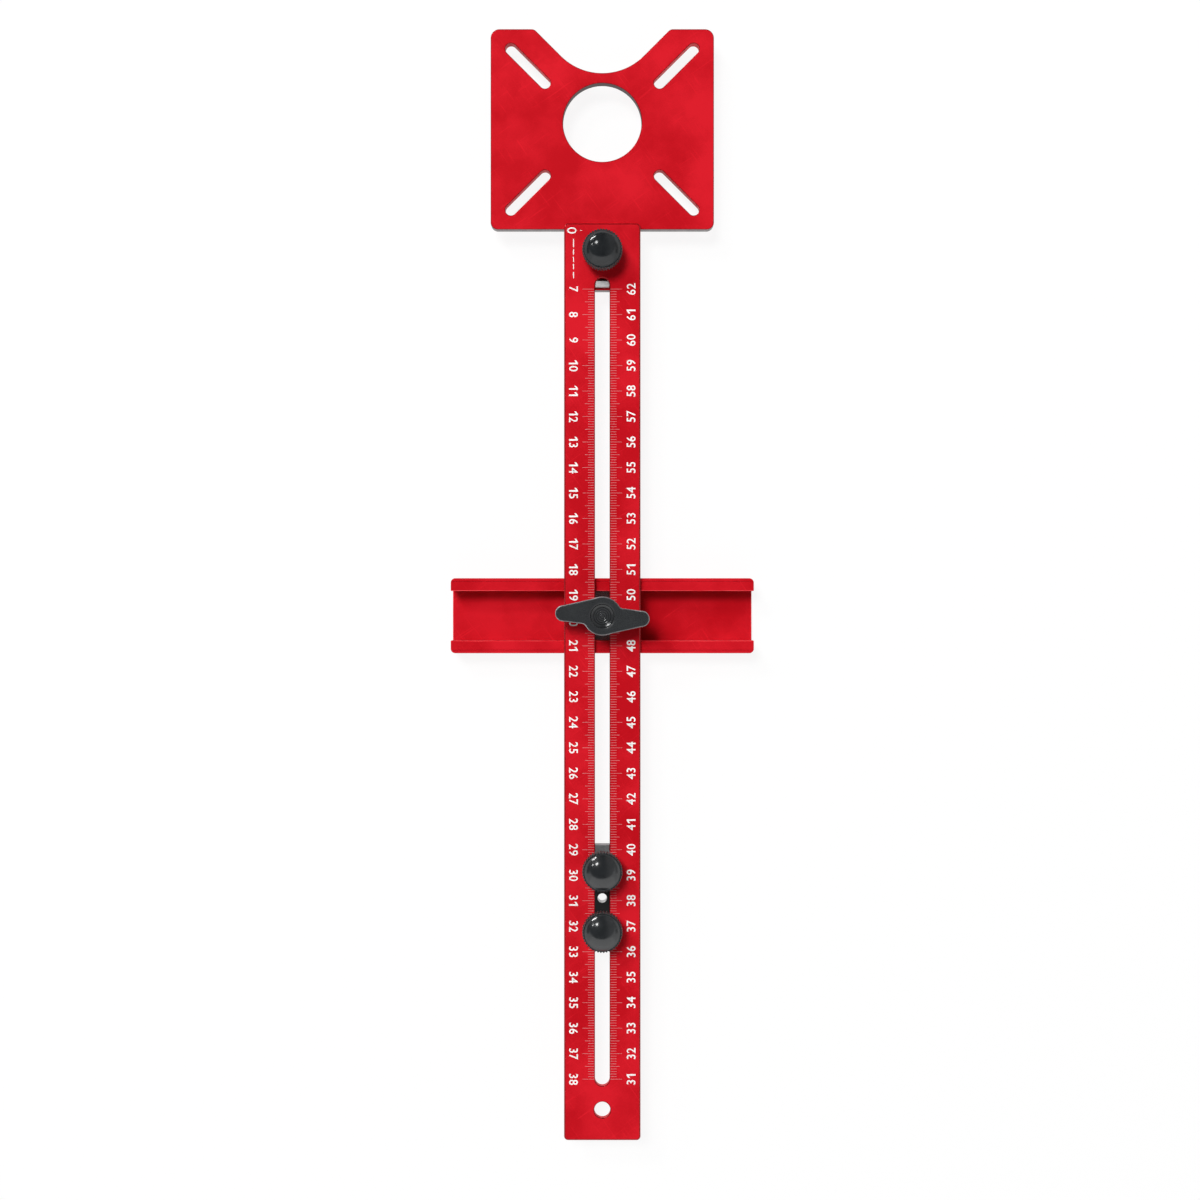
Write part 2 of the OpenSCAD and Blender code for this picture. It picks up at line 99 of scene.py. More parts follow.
# How far each column of a grip's ridge is pressed in, from the ridge's top to the groove
RIDGE_COLUMNS = (0.0, 0.25, 0.85, 1.0, 0.85, 0.25)
# How far the shaded ring reaches inside and outside a grip's shoulder
RING_INSIDE = 0.6 * MM
RING_OUTSIDE = 0.05 * MM
# How far the cutter of a grip's pocket stands above the pocket
POCKET_OVERCUT = 1 * MM
DOME_EDGE = 0.1 * MM
DOME_RINGS = 22
DOME_STEPS = 96

# Start and end of a thread's crest, in shares of its pitch
CREST = (0.42, 0.58)
# Turns of a thread past each end, which are cut off again
SPARE_TURNS = 2
THREAD_PLAY = 0.05 * MM
THREAD_STEPS = 28
STEM_CHAMFER = 0.5 * MM
STEM_TAPER = 0.78
ROD_STEPS = 40
FLAT_HEAD_EDGE = 0.3 * MM

# How far round the wing knob's cap its hub gets no painted highlight
WING_SEAT = 1 * MM
CAP_EDGE = 0.12 * MM
# Rise of the walls in the wing knob's cap over their run
CAP_SLOPE = 0.79
# Half the width of a groove in that cap, in shares of the grooves' pitch
CAP_GROOVE_HALF = 0.3
CAP_STEPS = 72

# Height of the relief in every finish, and the roughness of its coat and sheen
RELIEF = 0.05 * MM
COAT_ROUGHNESS = 0.38
SHEEN_ROUGHNESS = 0.3
# Angle and offset of each set of handling marks
MARK_SETS = ((0.6, 0.0), (-0.95, 3.7))
MARK_SIZE = 14 * MM
# How many times longer than wide a mark is
MARK_STRETCH = 22
# Levels of the noise at which a mark starts to show and shows in full
MARK_RANGE = (0.66, 0.76)

# Each tone of a finish is a colour and the share of it that is left. Clouds and grain are in millimetres
FINISHES = {
    # Dyed, bead-blasted aluminium: soft clouds in the red and a fine satin grain
    "blasted_red": dict(
        light=("red",), dark=("red_shade",), metallic=0.22, roughness=0.45, spread=0.08, cloud=24, grain=0.4,
        bump=0.16, speckle=0.22, shine=0.12, contrast=0.11, marks=0.11, seed=2.0,
    ),
    # Chamfers painted a deeper red as painted shade along the edges, smoother than the faces
    "cut_red": dict(
        light=("red_cut",), dark=("red_cut", 0.85), metallic=0.5, roughness=0.28, spread=0.06, cloud=12,
        grain=0.3, bump=0.10, speckle=0.2,
    ),
    # Fence edges along the mouth, painted a paler red as painted highlight
    "worn_red": dict(
        light=("red_edge",), dark=("red",), metallic=0.1, roughness=0.38, spread=0.08, cloud=9, grain=0.3,
        bump=0.12, shine=0.3,
    ),
    # Bored wall of the bit opening, painted dark as painted shade, with turning marks
    "stained_bore": dict(
        light=("bore",), dark=("bore", 0.7), metallic=0.1, roughness=0.55, spread=0.10, cloud=5, grain=0.4,
        bump=0.25, stretch=(0.3, 0.3, 3),
    ),
    # Bare sawn edge of the plate, with marks that run up and down
    "sawn_edge": dict(
        light=("cut_edge",), dark=("cut_edge", 0.7), metallic=0.85, roughness=0.42, spread=0.10, cloud=6,
        grain=0.5, bump=0.3, stretch=(1, 1, 0.12),
    ),
    # Bare milled aluminium with fine marks across
    "milled_key": dict(
        light=("key",), dark=("key", 0.82), metallic=0.4, roughness=0.40, spread=0.10, cloud=3, grain=0.25,
        bump=0.25, stretch=(0.15, 1, 1),
    ),
    # Blackened steel, ground along its length; its dark tone is also painted shade between the knobs
    "ground_steel": dict(
        light=("block",), dark=("block", 0.7), metallic=0.5, roughness=0.42, spread=0.10, cloud=5, grain=0.2,
        bump=0.22, stretch=(1, 0.08, 1),
    ),
    # Lighter ends of the block: painted light where light falls past the knobs
    "sawn_steel": dict(
        light=("block_end",), dark=("block_end", 0.7), metallic=0.5, roughness=0.42, spread=0.10, cloud=2,
        grain=0.2, bump=0.25, speckle=0.4, stretch=(0.15, 1, 1),
    ),
    # Zinc plated steel with a fine, even tumble
    "zinc_plate": dict(
        light=("steel",), dark=("steel", 0.85), metallic=0.95, roughness=0.30, spread=0.10, cloud=4,
        grain=0.18, bump=0.12, speckle=0.2,
    ),
    # Moulded grip with a matt, slightly pebbled skin
    "pebbled_grip": dict(
        light=("grip",), dark=("grip", 0.75), roughness=0.50, spread=0.08, cloud=3, grain=0.16, bump=0.25,
    ),
    # The ring of a grip that lies in the shade between its ridges and its cap
    "shaded_ring": dict(
        light=("grip", 0.25), dark=("grip", 0.15), roughness=0.6, spread=0.05, cloud=3, grain=0.3, bump=0.10,
        shine=0.1,
    ),
    # Polished cap: deep and glossy, under a thin clear coat
    "polished_dome": dict(
        light=("dome",), dark=("dome", 0.7), roughness=0.14, spread=0.05, cloud=5, grain=0.9, bump=0.03,
        speckle=0.1, coat=0.3,
    ),
    # The base knob's cap, handled the most: duller, with a finer grain
    "worn_dome": dict(
        light=("dome",), dark=("dome", 0.6), roughness=0.14, spread=0.06, cloud=5, grain=0.5, bump=0.05,
        shine=0.38,
    ),
    # Glass-filled moulding with a matt grain and slightly flowing tone
    "matt_wing": dict(
        light=("wing",), dark=("wing", 0.75), roughness=0.30, spread=0.08, cloud=7, grain=0.22, bump=0.22,
        shine=0.55, sheen=0.10,
    ),
    # The wing knob's cap: the same plastic from a polished mould, darker as painted shade in the hub's recess
    "moulded_cap": dict(
        light=("wing", 0.65), dark=("wing", 0.45), roughness=0.23, spread=0.03, cloud=4, grain=0.5, bump=0.03,
        speckle=0.2,
    ),
    # The wing knob's plastic where its edges are painted pale as painted highlight
    "rubbed_edge": dict(
        light=("wing_edge",), dark=("wing",), roughness=0.24, spread=0.05, cloud=6, grain=0.4, bump=0.06,
        contrast=0.25,
    ),
    # Brass with turning marks round the bore
    "turned_brass": dict(
        light=("brass",), dark=("brass", 0.8), metallic=1.0, roughness=0.28, spread=0.08, cloud=3, grain=0.2,
        bump=0.15, speckle=0.2, stretch=(1, 1, 6),
    ),
    # Print on the ruler: a thin film that is a little worn here and there
    **{
        ink: dict(
            light=(ink,), dark=(ink, 0.86), roughness=0.55, spread=0.06, cloud=4, grain=0.15, bump=0.08,
            speckle=0.2,
        )
        for ink in ("pale_print", "white_print")
    },
}

FLOOR_GAP = 0.05 * MM
FLOOR_GREY = (0.88, 0.88, 0.88, 1)
FELT_BLACK = (0.03, 0.03, 0.03, 1)
# Where the felt of the flags starts and stops turning pale, across the ruler
FELT_FADE = (0.2, 4.4)
# Round flag overhead, and each flat flag's corner and two sides, all from under the jig's middle
TOP_FLAG_PLACE = (-0.8, 8.1, 4.6)
TOP_FLAG_RADIUS = 11.4
TOP_FLAG_SIDES = 96
FLAGS = {
    "far_flag": ((-10, 10, 0.1), (20, 0, 0), (0, 0, 4.5)),
    "left_flag": ((-10, -1.8, 1.8), (0, 11.8, 0), (0, 0, 2.8)),
    "right_flag": ((10, -1.8, 1.8), (0, 11.8, 0), (0, 0, 2.8)),
}
LAMP_DISTANCE = 4.0
# Each lamp names its level among the settings, and the rest is as add_lamp says
LAMPS = {
    "soft_box": dict(level="soft_level", tilt=22, way=(-0.58, 0.82), spread=(0.28, 0.28), seen=False),
    "key_lamp": dict(level="key_level", tilt=45, way=(-0.6, 0.8), spread=(0.18, 0.18)),
    "strip_lamp": dict(level="strip_level", tilt=77, way=(-0.58, 0.82), spread=(0.36, 0.058), lights=False),
    "side_lamp": dict(level="side_level", tilt=57, way=(-0.85, 0.53), spread=(0.10, 0.10)),
    "low_card": dict(level="card_level", tilt=60, way=(0, -1), spread=(2.4, 1.0)),
}
SENSOR_WIDTH = 36.0
CLIP_START = 0.01


# Settings
def length(name, description, mm, least=0.0):
    """A length that the user can change, with its default in millimetres."""
    return FloatProperty(
        name=name, description=description, default=mm * MM, min=least, unit="LENGTH", precision=5
    )


def colour(name, description, rgb):
    """A colour that the user can change."""
    return FloatVectorProperty(
        name=name, description=description, default=rgb, size=3, min=0.0, max=1.0, subtype="COLOR"
    )


def count(name, description, default):
    """A whole number that the user can change."""
    return IntProperty(name=name, description=description, default=default)


def amount(name, description, default):
    """A plain number that the user can change."""
    return FloatProperty(name=name, description=description, default=default, min=0.0)


class JigColours(bpy.types.PropertyGroup):
    """Colours of the jig's finishes."""

    red: colour("Red", "Red dye of the anodised plate, ruler and fence", (0.705, 0.0115, 0.0226))
    red_shade: colour("Red shade", "Darker clouds in the red", (0.535, 0.0047, 0.0115))
    # Paler red on the fence's mouth edges: painted highlight
    red_edge: colour("Red edge", "Paler red where edges are rubbed", (0.92, 0.075, 0.090))
    # Deeper red of the chamfers: painted shade along the edges of the plate and ruler
    red_cut: colour("Red cut", "Deeper red in cut chamfers", (0.36, 0.0035, 0.0080))
    cut_edge: colour("Cut edge", "Bare metal where the plate was cut", (0.21, 0.20, 0.20))
    # Dark wall of the bit opening: painted shade
    bore: colour("Bore", "Stained wall of the bit opening", (0.045, 0.016, 0.016))
    key: colour("Key", "Bare metal of the locating key", (0.70, 0.70, 0.70))
    # Dark steel, whose dark tone also stands in for painted shade between the knobs
    block: colour("Block", "Blackened steel of the pivot block", (0.030, 0.030, 0.031))
    # Lighter ends of the block: painted light where light falls past the knobs
    block_end: colour("Block ends", "Bare sawn ends of the pivot block", (0.22, 0.225, 0.23))
    steel: colour("Steel", "Plated steel of bolts and washers", (0.56, 0.57, 0.58))
    grip: colour("Grip", "Plastic of the knurled grips", (0.030, 0.034, 0.037))
    dome: colour("Dome", "Polished plastic of the domed caps", (0.017, 0.019, 0.021))
    wing: colour("Wing", "Plastic of the wing knob", (0.029, 0.031, 0.033))
    # Pale edges of the wing knob: painted highlight
    wing_edge: colour("Wing edge", "Rubbed edges of the wing knob", (0.27, 0.28, 0.29))
    brass: colour("Brass", "Brass of the threaded insert", (0.62, 0.42, 0.16))
    white_print: colour("Print", "White of the numbers", (0.90, 0.89, 0.88))
    pale_print: colour("Pale print", "Paler etching of the ticks", (0.62, 0.26, 0.27))


class JigScale(bpy.types.PropertyGroup):
    """Sizes of the printed scale."""

    first_number: count("First number", "Left-hand number at the first tick", 7)
    last_number: count("Last number", "Left-hand number at the last tick", 38)
    number_sum: count("Sum", "Left and right numbers of a tick add up to this", 69)
    start: length("Start", "From the ruler's end to the first tick", 25.9)
    slot_half: length("Slot edge", "From the ruler's middle line to the slot's edge", 3.15)
    short_tick: length("Short tick", "Length of a millimetre tick", 2.45)
    middle_tick: length("Middle tick", "Length of a five millimetre tick", 3.65)
    long_tick: length("Long tick", "Length of a centimetre tick", 4.65)
    tick_width: length("Tick width", "Width of every tick", 0.13)
    tick_gap: length("Tick gap", "Hairline between a tick and its longer part", 0.01)
    number_x: length("Number column", "From the ruler's middle line to the numbers", 11.3)
    number_height: length("Number height", "Height of a digit", 3.5)
    number_width: length("Number width", "Width of an 8", 2.1)
    number_pitch: length("Number pitch", "From digit to digit of a number", 2.45)
    number_bold: length("Bold", "How far the digits' strokes are thickened", 0.035)
    film: length("Film", "Thickness of the print", 0.02)
    zero_x: length("Zero column", "From the ruler's middle line to the zero", 11.95)
    zero_y: length("Zero", "From the ruler's end to the zero", 2.9)
    zero_height: length("Zero height", "Height of the zero", 3.8)
    zero_width: length("Zero width", "Width of the zero", 2.6)
    zero_tick_x: length("Zero tick column", "From the ruler's middle line to the tick beside the zero", 8.3)
    zero_tick: length("Zero tick", "Length of the tick beside the zero", 1.0)
    dash_width: length("Dash width", "Width of the dashes below the zero", 0.34)


class JigShapes(bpy.types.PropertyGroup):
    """Sizes of edges, knobs and threads that the scene adds."""

    plate_edge: length("Plate edge", "Rounding of the plate's edges", 0.28)
    screw_slot_x: length("Slot across", "From the plate's middle line to a screw slot's middle", 29.3)
    screw_slot_y: length("Slot along", "From the slots' middle line to a screw slot's middle", 25.0)
    screw_slot_middle: length("Slots' middle", "The slots' middle line along the ruler", -2.7, least=-1.0)
    screw_slot_reach: length("Slot reach", "From a screw slot's middle to past its ends", 12.6)
    screw_slot_side: length("Slot side", "From a screw slot's line to past its walls", 2.6)
    opening_reach: length("Opening reach", "From the bit's centre to just past the opening's wall", 16.0)
    chamfer_edge: length("Chamfer edge", "Softening of the ruler's chamfers", 0.08)
    # Length of the block's lighter ends, which are painted light
    bare_end: length("Bare end", "Length of the pivot block's bare ends", 3.0)
    fence_edge: length("Fence edge", "Rounding of the fence's edges", 0.3)
    mouth_reach: length("Mouth reach", "From the fence's middle line to just past its mouth's edges", 10.3)
    key_flat: length("Key flat", "Width of the flat on the locating key's round end", 1.1)
    metal_edge: length("Metal edge", "Rounding of small metal pieces", 0.12)
    wing_grain: length("Wing mesh", "Mesh size of the moulded wing knob", 0.22)
    wing_rounds: count("Wing rounding", "Smoothing passes on the wing knob", 40)
    pin_r: length("Pin hole", "Radius of the pivot block's pin hole", 1.8)
    ridges: count("Ridges", "Ridges round a knob's grip", 42)
    ridge_depth: length("Ridge depth", "Depth of the grooves between the ridges", 0.45)
    ridge_lead: length("Ridge lead", "Chamfer at the ends of the ridges", 0.15)
    collar_r: length("Collar", "Radius of the collar under the grip", 5.0)
    collar_h: length("Collar height", "Height of the collar", 3.5)
    flare_h: length("Flare", "Height of the cone above the collar", 0.6)
    shoulder_r: length("Shoulder", "Radius of the smooth shoulder above the ridges", 7.25)
    shoulder_h: length("Shoulder height", "Height of that shoulder", 0.6)
    dome_gap: length("Dome gap", "How far a domed cap stays inside its grip's shoulder", 0.18)
    spigot_r: length("Spigot", "Radius of the cap's spigot in the grip", 5.5)
    bolt_r: length("Bolt", "Radius of the bolts", 2.5)
    bolt_head: length("Bolt head", "Across the flats of a knob's bolt head", 8.0)
    bolt_head_h: length("Bolt head height", "Height of a knob's bolt head", 3.5)
    press_gap: length("Press gap", "Gap round pressed-in pieces", 0.02)
    thread_pitch: length("Pitch", "Pitch of the bolts' threads", 0.8)
    thread_depth: length("Thread depth", "Depth of the bolts' threads", 0.42)
    cap_rings: count("Cap rings", "Ring grooves in the wing knob's cap", 4)
    cap_ring_depth: length("Cap ring depth", "Depth of those grooves", 0.18)
    cap_lip: length("Cap lip", "Width of the lip round the cap", 0.25)
    cap_dish: length("Cap dish", "Depth of the dish inside that lip", 0.45)
    neck_l: length("Neck length", "Length of the flat-sided neck of the fence's bolt", 8.0)
    neck_h: length("Neck height", "Height of that neck", 2.6)
    neck_w: length("Neck width", "Width of that neck", 5.55)
    head_l: length("Flat head", "Length of the fence bolt's flat head along the channel", 14.0)
    head_t: length("Flat head thickness", "Thickness of that head", 2.6)


class JigStage(bpy.types.PropertyGroup):
    """Camera, floor and lamps. A lamp's level is the share of plain light that it gives."""

    camera_x: length("Camera across", "Camera's place across the ruler", -0.9, least=-1.0)
    camera_y: length("Camera along", "Camera's place along the ruler", -188.2, least=-1.0)
    camera_height: length("Camera height", "Camera's height above the ruler's top face", 700.0)
    lens: amount("Lens", "Focal length for a 36 mm sensor, in millimetres", 53.52)
    floor_size: length("Floor", "Side of the floor", 24000.0)
    floor_glow: amount("Floor glow", "Share of plain white that the floor shows", 0.90)
    fill: amount("Fill", "Strength of the even light from all round", 0.37)
    soft_level: amount("Soft box", "Level of the broad soft box near the top", 0.76)
    key_level: amount("Key", "Level of the small lamp half way up", 0.18)
    strip_level: amount("Strip", "Level of the low strip lamp, seen in reflections alone", 0.078)
    side_level: amount("Side", "Level of the small side lamp", 0.03)
    card_glow: amount("Card glow", "Share of plain white that the flags show on the right", 0.35)
    card_level: amount("Card", "Level of the wide card past the free end", 0.15)


class JigSettings(bpy.types.PropertyGroup):
    """All settings of the jig."""

    colours: PointerProperty(type=JigColours)
    scale: PointerProperty(type=JigScale)
    shapes: PointerProperty(type=JigShapes)
    stage: PointerProperty(type=JigStage)


# Selecting and shaping
def select_none():
    """Deselects every object."""
    bpy.ops.object.select_all(action="DESELECT")


def leave_edit():
    """Goes back to object mode."""
    bpy.ops.object.mode_set(mode="OBJECT")


def select_only(piece):
    """Leaves edit mode and selects this piece alone."""
    if bpy.context.object is not None and bpy.context.object.mode != "OBJECT":
        leave_edit()
    select_none()
    piece.select_set(True)
    bpy.context.view_layer.objects.active = piece


def select_mesh():
    """In edit mode, selects the whole mesh."""
    bpy.ops.mesh.select_all(action="SELECT")


def edit(piece):
    """Opens this piece alone in edit mode, with its whole mesh selected."""
    select_only(piece)
    bpy.ops.object.mode_set(mode="EDIT")
    select_mesh()


def settle():
    """Puts the place, turn and scale of the selected piece into its mesh."""
    bpy.ops.object.transform_apply(location=True, rotation=True, scale=True)


def named(name):
    """The piece that was just added, under its name."""
    piece = bpy.context.object
    piece.name = piece.data.name = name
    return piece


def add_piece(name, primitive, scale=(1, 1, 1), **settings):
    """A new piece that starts from one of the mesh primitives."""
    select_none()
    getattr(bpy.ops.mesh, f"primitive_{primitive}_add")(**settings)
    piece = named(name)
    piece.scale = scale
    settle()
    return piece


def choose(piece, kind, test):
    """In edit mode, selects the verts or faces that pass a test."""
    bpy.ops.mesh.select_mode(type={"verts": "VERT", "faces": "FACE"}[kind])
    bpy.ops.mesh.select_all(action="DESELECT")
    mesh = bmesh.from_edit_mesh(piece.data)
    for part in getattr(mesh, kind):
        part.select_set(bool(test(part)))
    mesh.select_flush_mode()
    bmesh.update_edit_mesh(piece.data)


def apply_modifier(piece, kind, **settings):
    """Adds a modifier with these settings and applies it."""
    modifier = piece.modifiers.new(kind.lower(), kind)
    for key, value in settings.items():
        setattr(modifier, key, value)
    select_only(piece)
    bpy.ops.object.modifier_apply(modifier=modifier.name)


def smooth(piece, degrees=32):
    """Shades a piece smooth up to an angle."""
    select_only(piece)
    bpy.ops.object.shade_smooth_by_angle(angle=math.radians(degrees))


def copy_node(node, name):
    """A new piece from a CAD node, with its loose triangles merged and its flat faces joined."""
    piece = bpy.data.objects.new(name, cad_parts[node].data.copy())
    piece.data.name = name
    bpy.context.scene.collection.objects.link(piece)
    piece.data.materials.clear()
    select_only(piece)
    bpy.ops.mesh.customdata_custom_splitnormals_clear()
    edit(piece)
    bpy.ops.mesh.remove_doubles(threshold=WELD)
    bpy.ops.mesh.dissolve_limited(angle_limit=math.radians(0.3))
    leave_edit()
    return piece


def round_edges(piece, width, segments=3):
    """Rounds the sharp edges of a piece and keeps its flat faces flat."""
    apply_modifier(
        piece, "BEVEL", width=width, segments=segments, limit_method="ANGLE", use_clamp_overlap=True,
        angle_limit=math.radians(35), miter_outer="MITER_ARC",
    )
    smooth(piece)
    apply_modifier(piece, "WEIGHTED_NORMAL", keep_sharp=True, weight=50)
    return piece


def close_up():
    """In edit mode, merges doubles and points all faces outwards."""
    select_mesh()
    bpy.ops.mesh.remove_doubles(threshold=WELD)
    bpy.ops.mesh.normals_make_consistent(inside=False)


def raise_faces(height):
    """In edit mode, extrudes the selected faces up, or down by a height below zero."""
    bpy.ops.mesh.extrude_region_move(TRANSFORM_OT_translate={"value": (0, 0, height)})


def draw_line(name, points):
    """A new piece, left in edit mode, whose mesh is one line of edges through these points."""
    piece = add_piece(name, "plane", size=MM, location=points[0])
    edit(piece)
    bpy.ops.mesh.select_mode(type="VERT")
    select_mesh()
    bpy.ops.mesh.merge(type="CENTER")
    for here, there in zip(points, points[1:]):
        bpy.ops.mesh.extrude_vertices_move(TRANSFORM_OT_translate={"value": there - here})
    return piece


def turn(name, profile, centre, steps):
    """A piece turned round an upright axis, from a profile of radii and heights."""
    piece = draw_line(name, [Vector((centre.x + r, centre.y, z)) for r, z in profile])
    select_mesh()
    bpy.ops.mesh.spin(steps=steps, angle=FULL_TURN, center=(centre.x, centre.y, 0), axis=UP)
    close_up()
    leave_edit()
    return piece


def lay_copy(piece, name, place, turned=0.0, size=(1, 1, 1)):
    """A copy with its own mesh, sized, turned and moved to its place."""
    select_only(piece)
    bpy.ops.object.duplicate(linked=False)
    copy = named(name)
    copy.location = place
    copy.rotation_euler = (0, 0, turned)
    copy.scale = size
    settle()
    return copy


def join(name, pieces):
    """Joins pieces into one."""
    select_only(pieces[0])
    for piece in pieces[1:]:
        piece.select_set(True)
    bpy.ops.object.join()
    return named(name)


def middle(node):
    """The middle of a CAD node's box."""
    low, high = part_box(node)
    return (low + high) / 2


def off_axis(face, centre):
    """How far a face's middle is from the upright axis through a point."""
    return (face.calc_center_median() - centre).to_2d().length


def between(value, limits):
    """True for a value that lies between two limits."""
    return limits[0] <= value < limits[1]


def hand_over(piece, body, slot, *nodes):
    """Puts a piece on its body in place of these CAD nodes, which it hides. slot is not used."""
    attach(piece, body)
    if nodes:
        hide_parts(*nodes)


# Materials
def feed(tree, node, sockets):
    """Gives a node's inputs their values, or the outputs or nodes that lead to them."""
    for socket, value in sockets.items():
        if isinstance(value, bpy.types.Node):
            value = value.outputs[0]
        if isinstance(value, bpy.types.NodeSocket):
            tree.links.new(value, node.inputs[socket])
        else:
            node.inputs[socket].default_value = value


def add_node(tree, kind, sockets=None, **settings):
    """A new node with these settings and inputs."""
    node = tree.nodes.new(f"ShaderNode{kind}")
    for key, value in settings.items():
        setattr(node, key, value)
    feed(tree, node, sockets or {})
    return node


def new_material(name):
    """A material that is ready for its nodes."""
    material = bpy.data.materials.new(name)
    material.use_nodes = True
    return material


def add_marks(tree, place, tone, strength):
    """Adds sparse hairlines in two directions to a tone, as from handling."""
    for angle, shift in MARK_SETS:
        lie = add_node(tree, "Mapping", {
            "Vector": place, "Location": (shift, shift, 0), "Rotation": (0, 0, angle),
            "Scale": (1, 1 / MARK_STRETCH, 1),
        }, vector_type="TEXTURE")
        lines = add_node(tree, "TexNoise", {"Vector": lie, "Scale": 1 / MARK_SIZE, "Detail": 1.0})
        sparse = add_node(tree, "MapRange", {
            "Value": lines, "From Min": MARK_RANGE[0], "From Max": MARK_RANGE[1], "To Max": strength,
        })
        tone = add_node(tree, "Math", {0: sparse, 1: tone})
    return tone


def shade_of(colours, name, left=1.0):
    """One of the jig's colours, with this share of it left."""
    return (*(channel * left for channel in getattr(colours, name)), 1)


def lay_surface(
    tree, colours, light, dark, roughness, spread, cloud, grain, bump, metallic=0.0, speckle=0.3,
    stretch=(1, 1, 1), shine=0.5, coat=0.0, sheen=0.0, contrast=0.18, marks=0.0, seed=0.0,
):
    """Nodes of a finish whose colour clouds between two tones, with a grain in its roughness and relief.

    spread is how far the roughness strays, speckle is how much the grain shows in the colour, stretch draws
    the grain out, shine is the shader's specular level, contrast is half the width of the change from tone
    to tone, marks is how much faint handling marks lighten it, and seed draws other clouds.
    """
    place = add_node(tree, "TexCoord").outputs["Object"]
    clouds = add_node(tree, "TexNoise", {
        "Vector": place, "W": seed, "Scale": 1 / (cloud * MM), "Detail": 4.0, "Roughness": 0.55,
    }, noise_dimensions="4D")
    drawn_out = add_node(tree, "Mapping", {"Vector": place, "Scale": stretch})
    grains = add_node(tree, "TexNoise", {"Vector": drawn_out, "Scale": 1 / (grain * MM), "Detail": 3.0})
    tone = add_node(tree, "Math", {0: grains, 1: speckle, 2: clouds}, operation="MULTIPLY_ADD")
    if marks:
        tone = add_marks(tree, place, tone, marks)
    tones = add_node(tree, "ValToRGB", {"Fac": tone})
    for stop, side, shade in zip(tones.color_ramp.elements, (-contrast, contrast), (dark, light)):
        stop.position = 0.5 + side + speckle / 2
        stop.color = shade_of(colours, *shade)
    rough = add_node(tree, "MapRange", {
        "Value": grains, "From Min": 0.25, "From Max": 0.75,
        "To Min": roughness - spread, "To Max": roughness + spread,
    })
    relief = add_node(tree, "Bump", {"Height": grains, "Strength": bump, "Distance": RELIEF})
    feed(tree, tree.nodes["Principled BSDF"], {
        "Base Color": tones, "Roughness": rough, "Normal": relief, "Metallic": metallic,
        "Specular IOR Level": shine, "Coat Weight": coat, "Coat Roughness": COAT_ROUGHNESS,
        "Sheen Weight": sheen, "Sheen Roughness": SHEEN_ROUGHNESS,
    })


def finish(name, colours):
    """The material of one of the finishes, made when it is first asked for."""
    if name not in bpy.data.materials:
        lay_surface(new_material(name).node_tree, colours, **FINISHES[name])
    return bpy.data.materials[name]


def dress(piece, colours, name, **tests):
    """Gives a piece one finish all over, and others on the faces that pass their tests."""
    piece.data.materials.clear()
    for each in (name, *tests):
        piece.data.materials.append(finish(each, colours))
    for face in piece.data.polygons:
        face.material_index = 0
    for slot_number, test in enumerate(tests.values(), start=1):
        edit(piece)
        choose(piece, "faces", test)
        piece.active_material_index = slot_number
        bpy.ops.object.material_slot_assign()
        leave_edit()


# Plate, ruler and scale
class CIRCLE_JIG_OT_plate(bpy.types.Operator):
    """Base plate with rounded edges, red faces and bare cut edges, and its locating key"""

    bl_idname = "circle_jig.plate"
    bl_label = "Base plate and key"

    def execute(self, context):
        jig = context.scene.circle_jig
        shapes = jig.shapes
        plate = round_edges(copy_node("base_plate", "router_plate"), shapes.plate_edge)
        slot_lines = [
            (
                Vector((x * shapes.screw_slot_x, shapes.screw_slot_middle + y * shapes.screw_slot_y)),
                Vector((x, y)).normalized(),
            )
            for x in (-1, 1)
            for y in (-1, 1)
        ]

        def is_wall(face):
            return abs(face.normal.z) < WALL

        def in_slot(face):
            offsets = [(face.calc_center_median().to_2d() - point, line) for point, line in slot_lines]
            return any(
                abs(offset.cross(line)) < shapes.screw_slot_side and offset.length < shapes.screw_slot_reach
                for offset, line in offsets
            )

        def in_opening(face):
            return face.calc_center_median().to_2d().length < shapes.opening_reach

        dress(
            plate, jig.colours, "blasted_red",
            sawn_edge=lambda face: is_wall(face) and not in_slot(face),
            # The plate's edge chamfers get a deeper red as painted shade
            cut_red=lambda face: between(abs(face.normal.z), PLATE_EDGES),
            # The wall of the bit opening is painted dark as painted shade
            stained_bore=lambda face: is_wall(face) and in_opening(face),
        )
        hand_over(plate, "base_and_ruler", "red_anodised", "base_plate")
        key = copy_node("locating_key", "slot_key")
        edit(key)
        bpy.ops.mesh.bisect(
            plane_co=(0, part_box("locating_key")[1].y - shapes.key_flat, 0), plane_no=(0, 1, 0),
            use_fill=True, clear_outer=True,
        )
        close_up()
        leave_edit()
        round_edges(key, shapes.metal_edge)
        dress(key, jig.colours, "milled_key")
        hand_over(key, "base_and_ruler", "bare_key", "locating_key")
        return {"FINISHED"}


class CIRCLE_JIG_OT_ruler(bpy.types.Operator):
    """Slotted ruler with softened edges and chamfers painted a deeper red as painted shade"""

    bl_idname = "circle_jig.ruler"
    bl_label = "Ruler"

    def execute(self, context):
        jig = context.scene.circle_jig
        ruler = round_edges(copy_node("ruler_bar", "slotted_ruler"), jig.shapes.chamfer_edge, segments=1)
        dress(
            ruler, jig.colours, "blasted_red",
            # The chamfers get a deeper red as painted shade along the ruler's edges
            cut_red=lambda face: between(abs(face.normal.z), RULER_EDGES),
        )
        hand_over(ruler, "base_and_ruler", "red_anodised", "ruler_bar")
        return {"FINISHED"}


def add_bar(name, x, y, size, top, film):
    """A thin printed bar, centred on a point of the ruler's top face."""
    bar = add_piece(name, "plane", scale=(*size, 1), size=1, location=(x, y, top))
    edit(bar)
    raise_faces(film)
    close_up()
    leave_edit()
    return bar


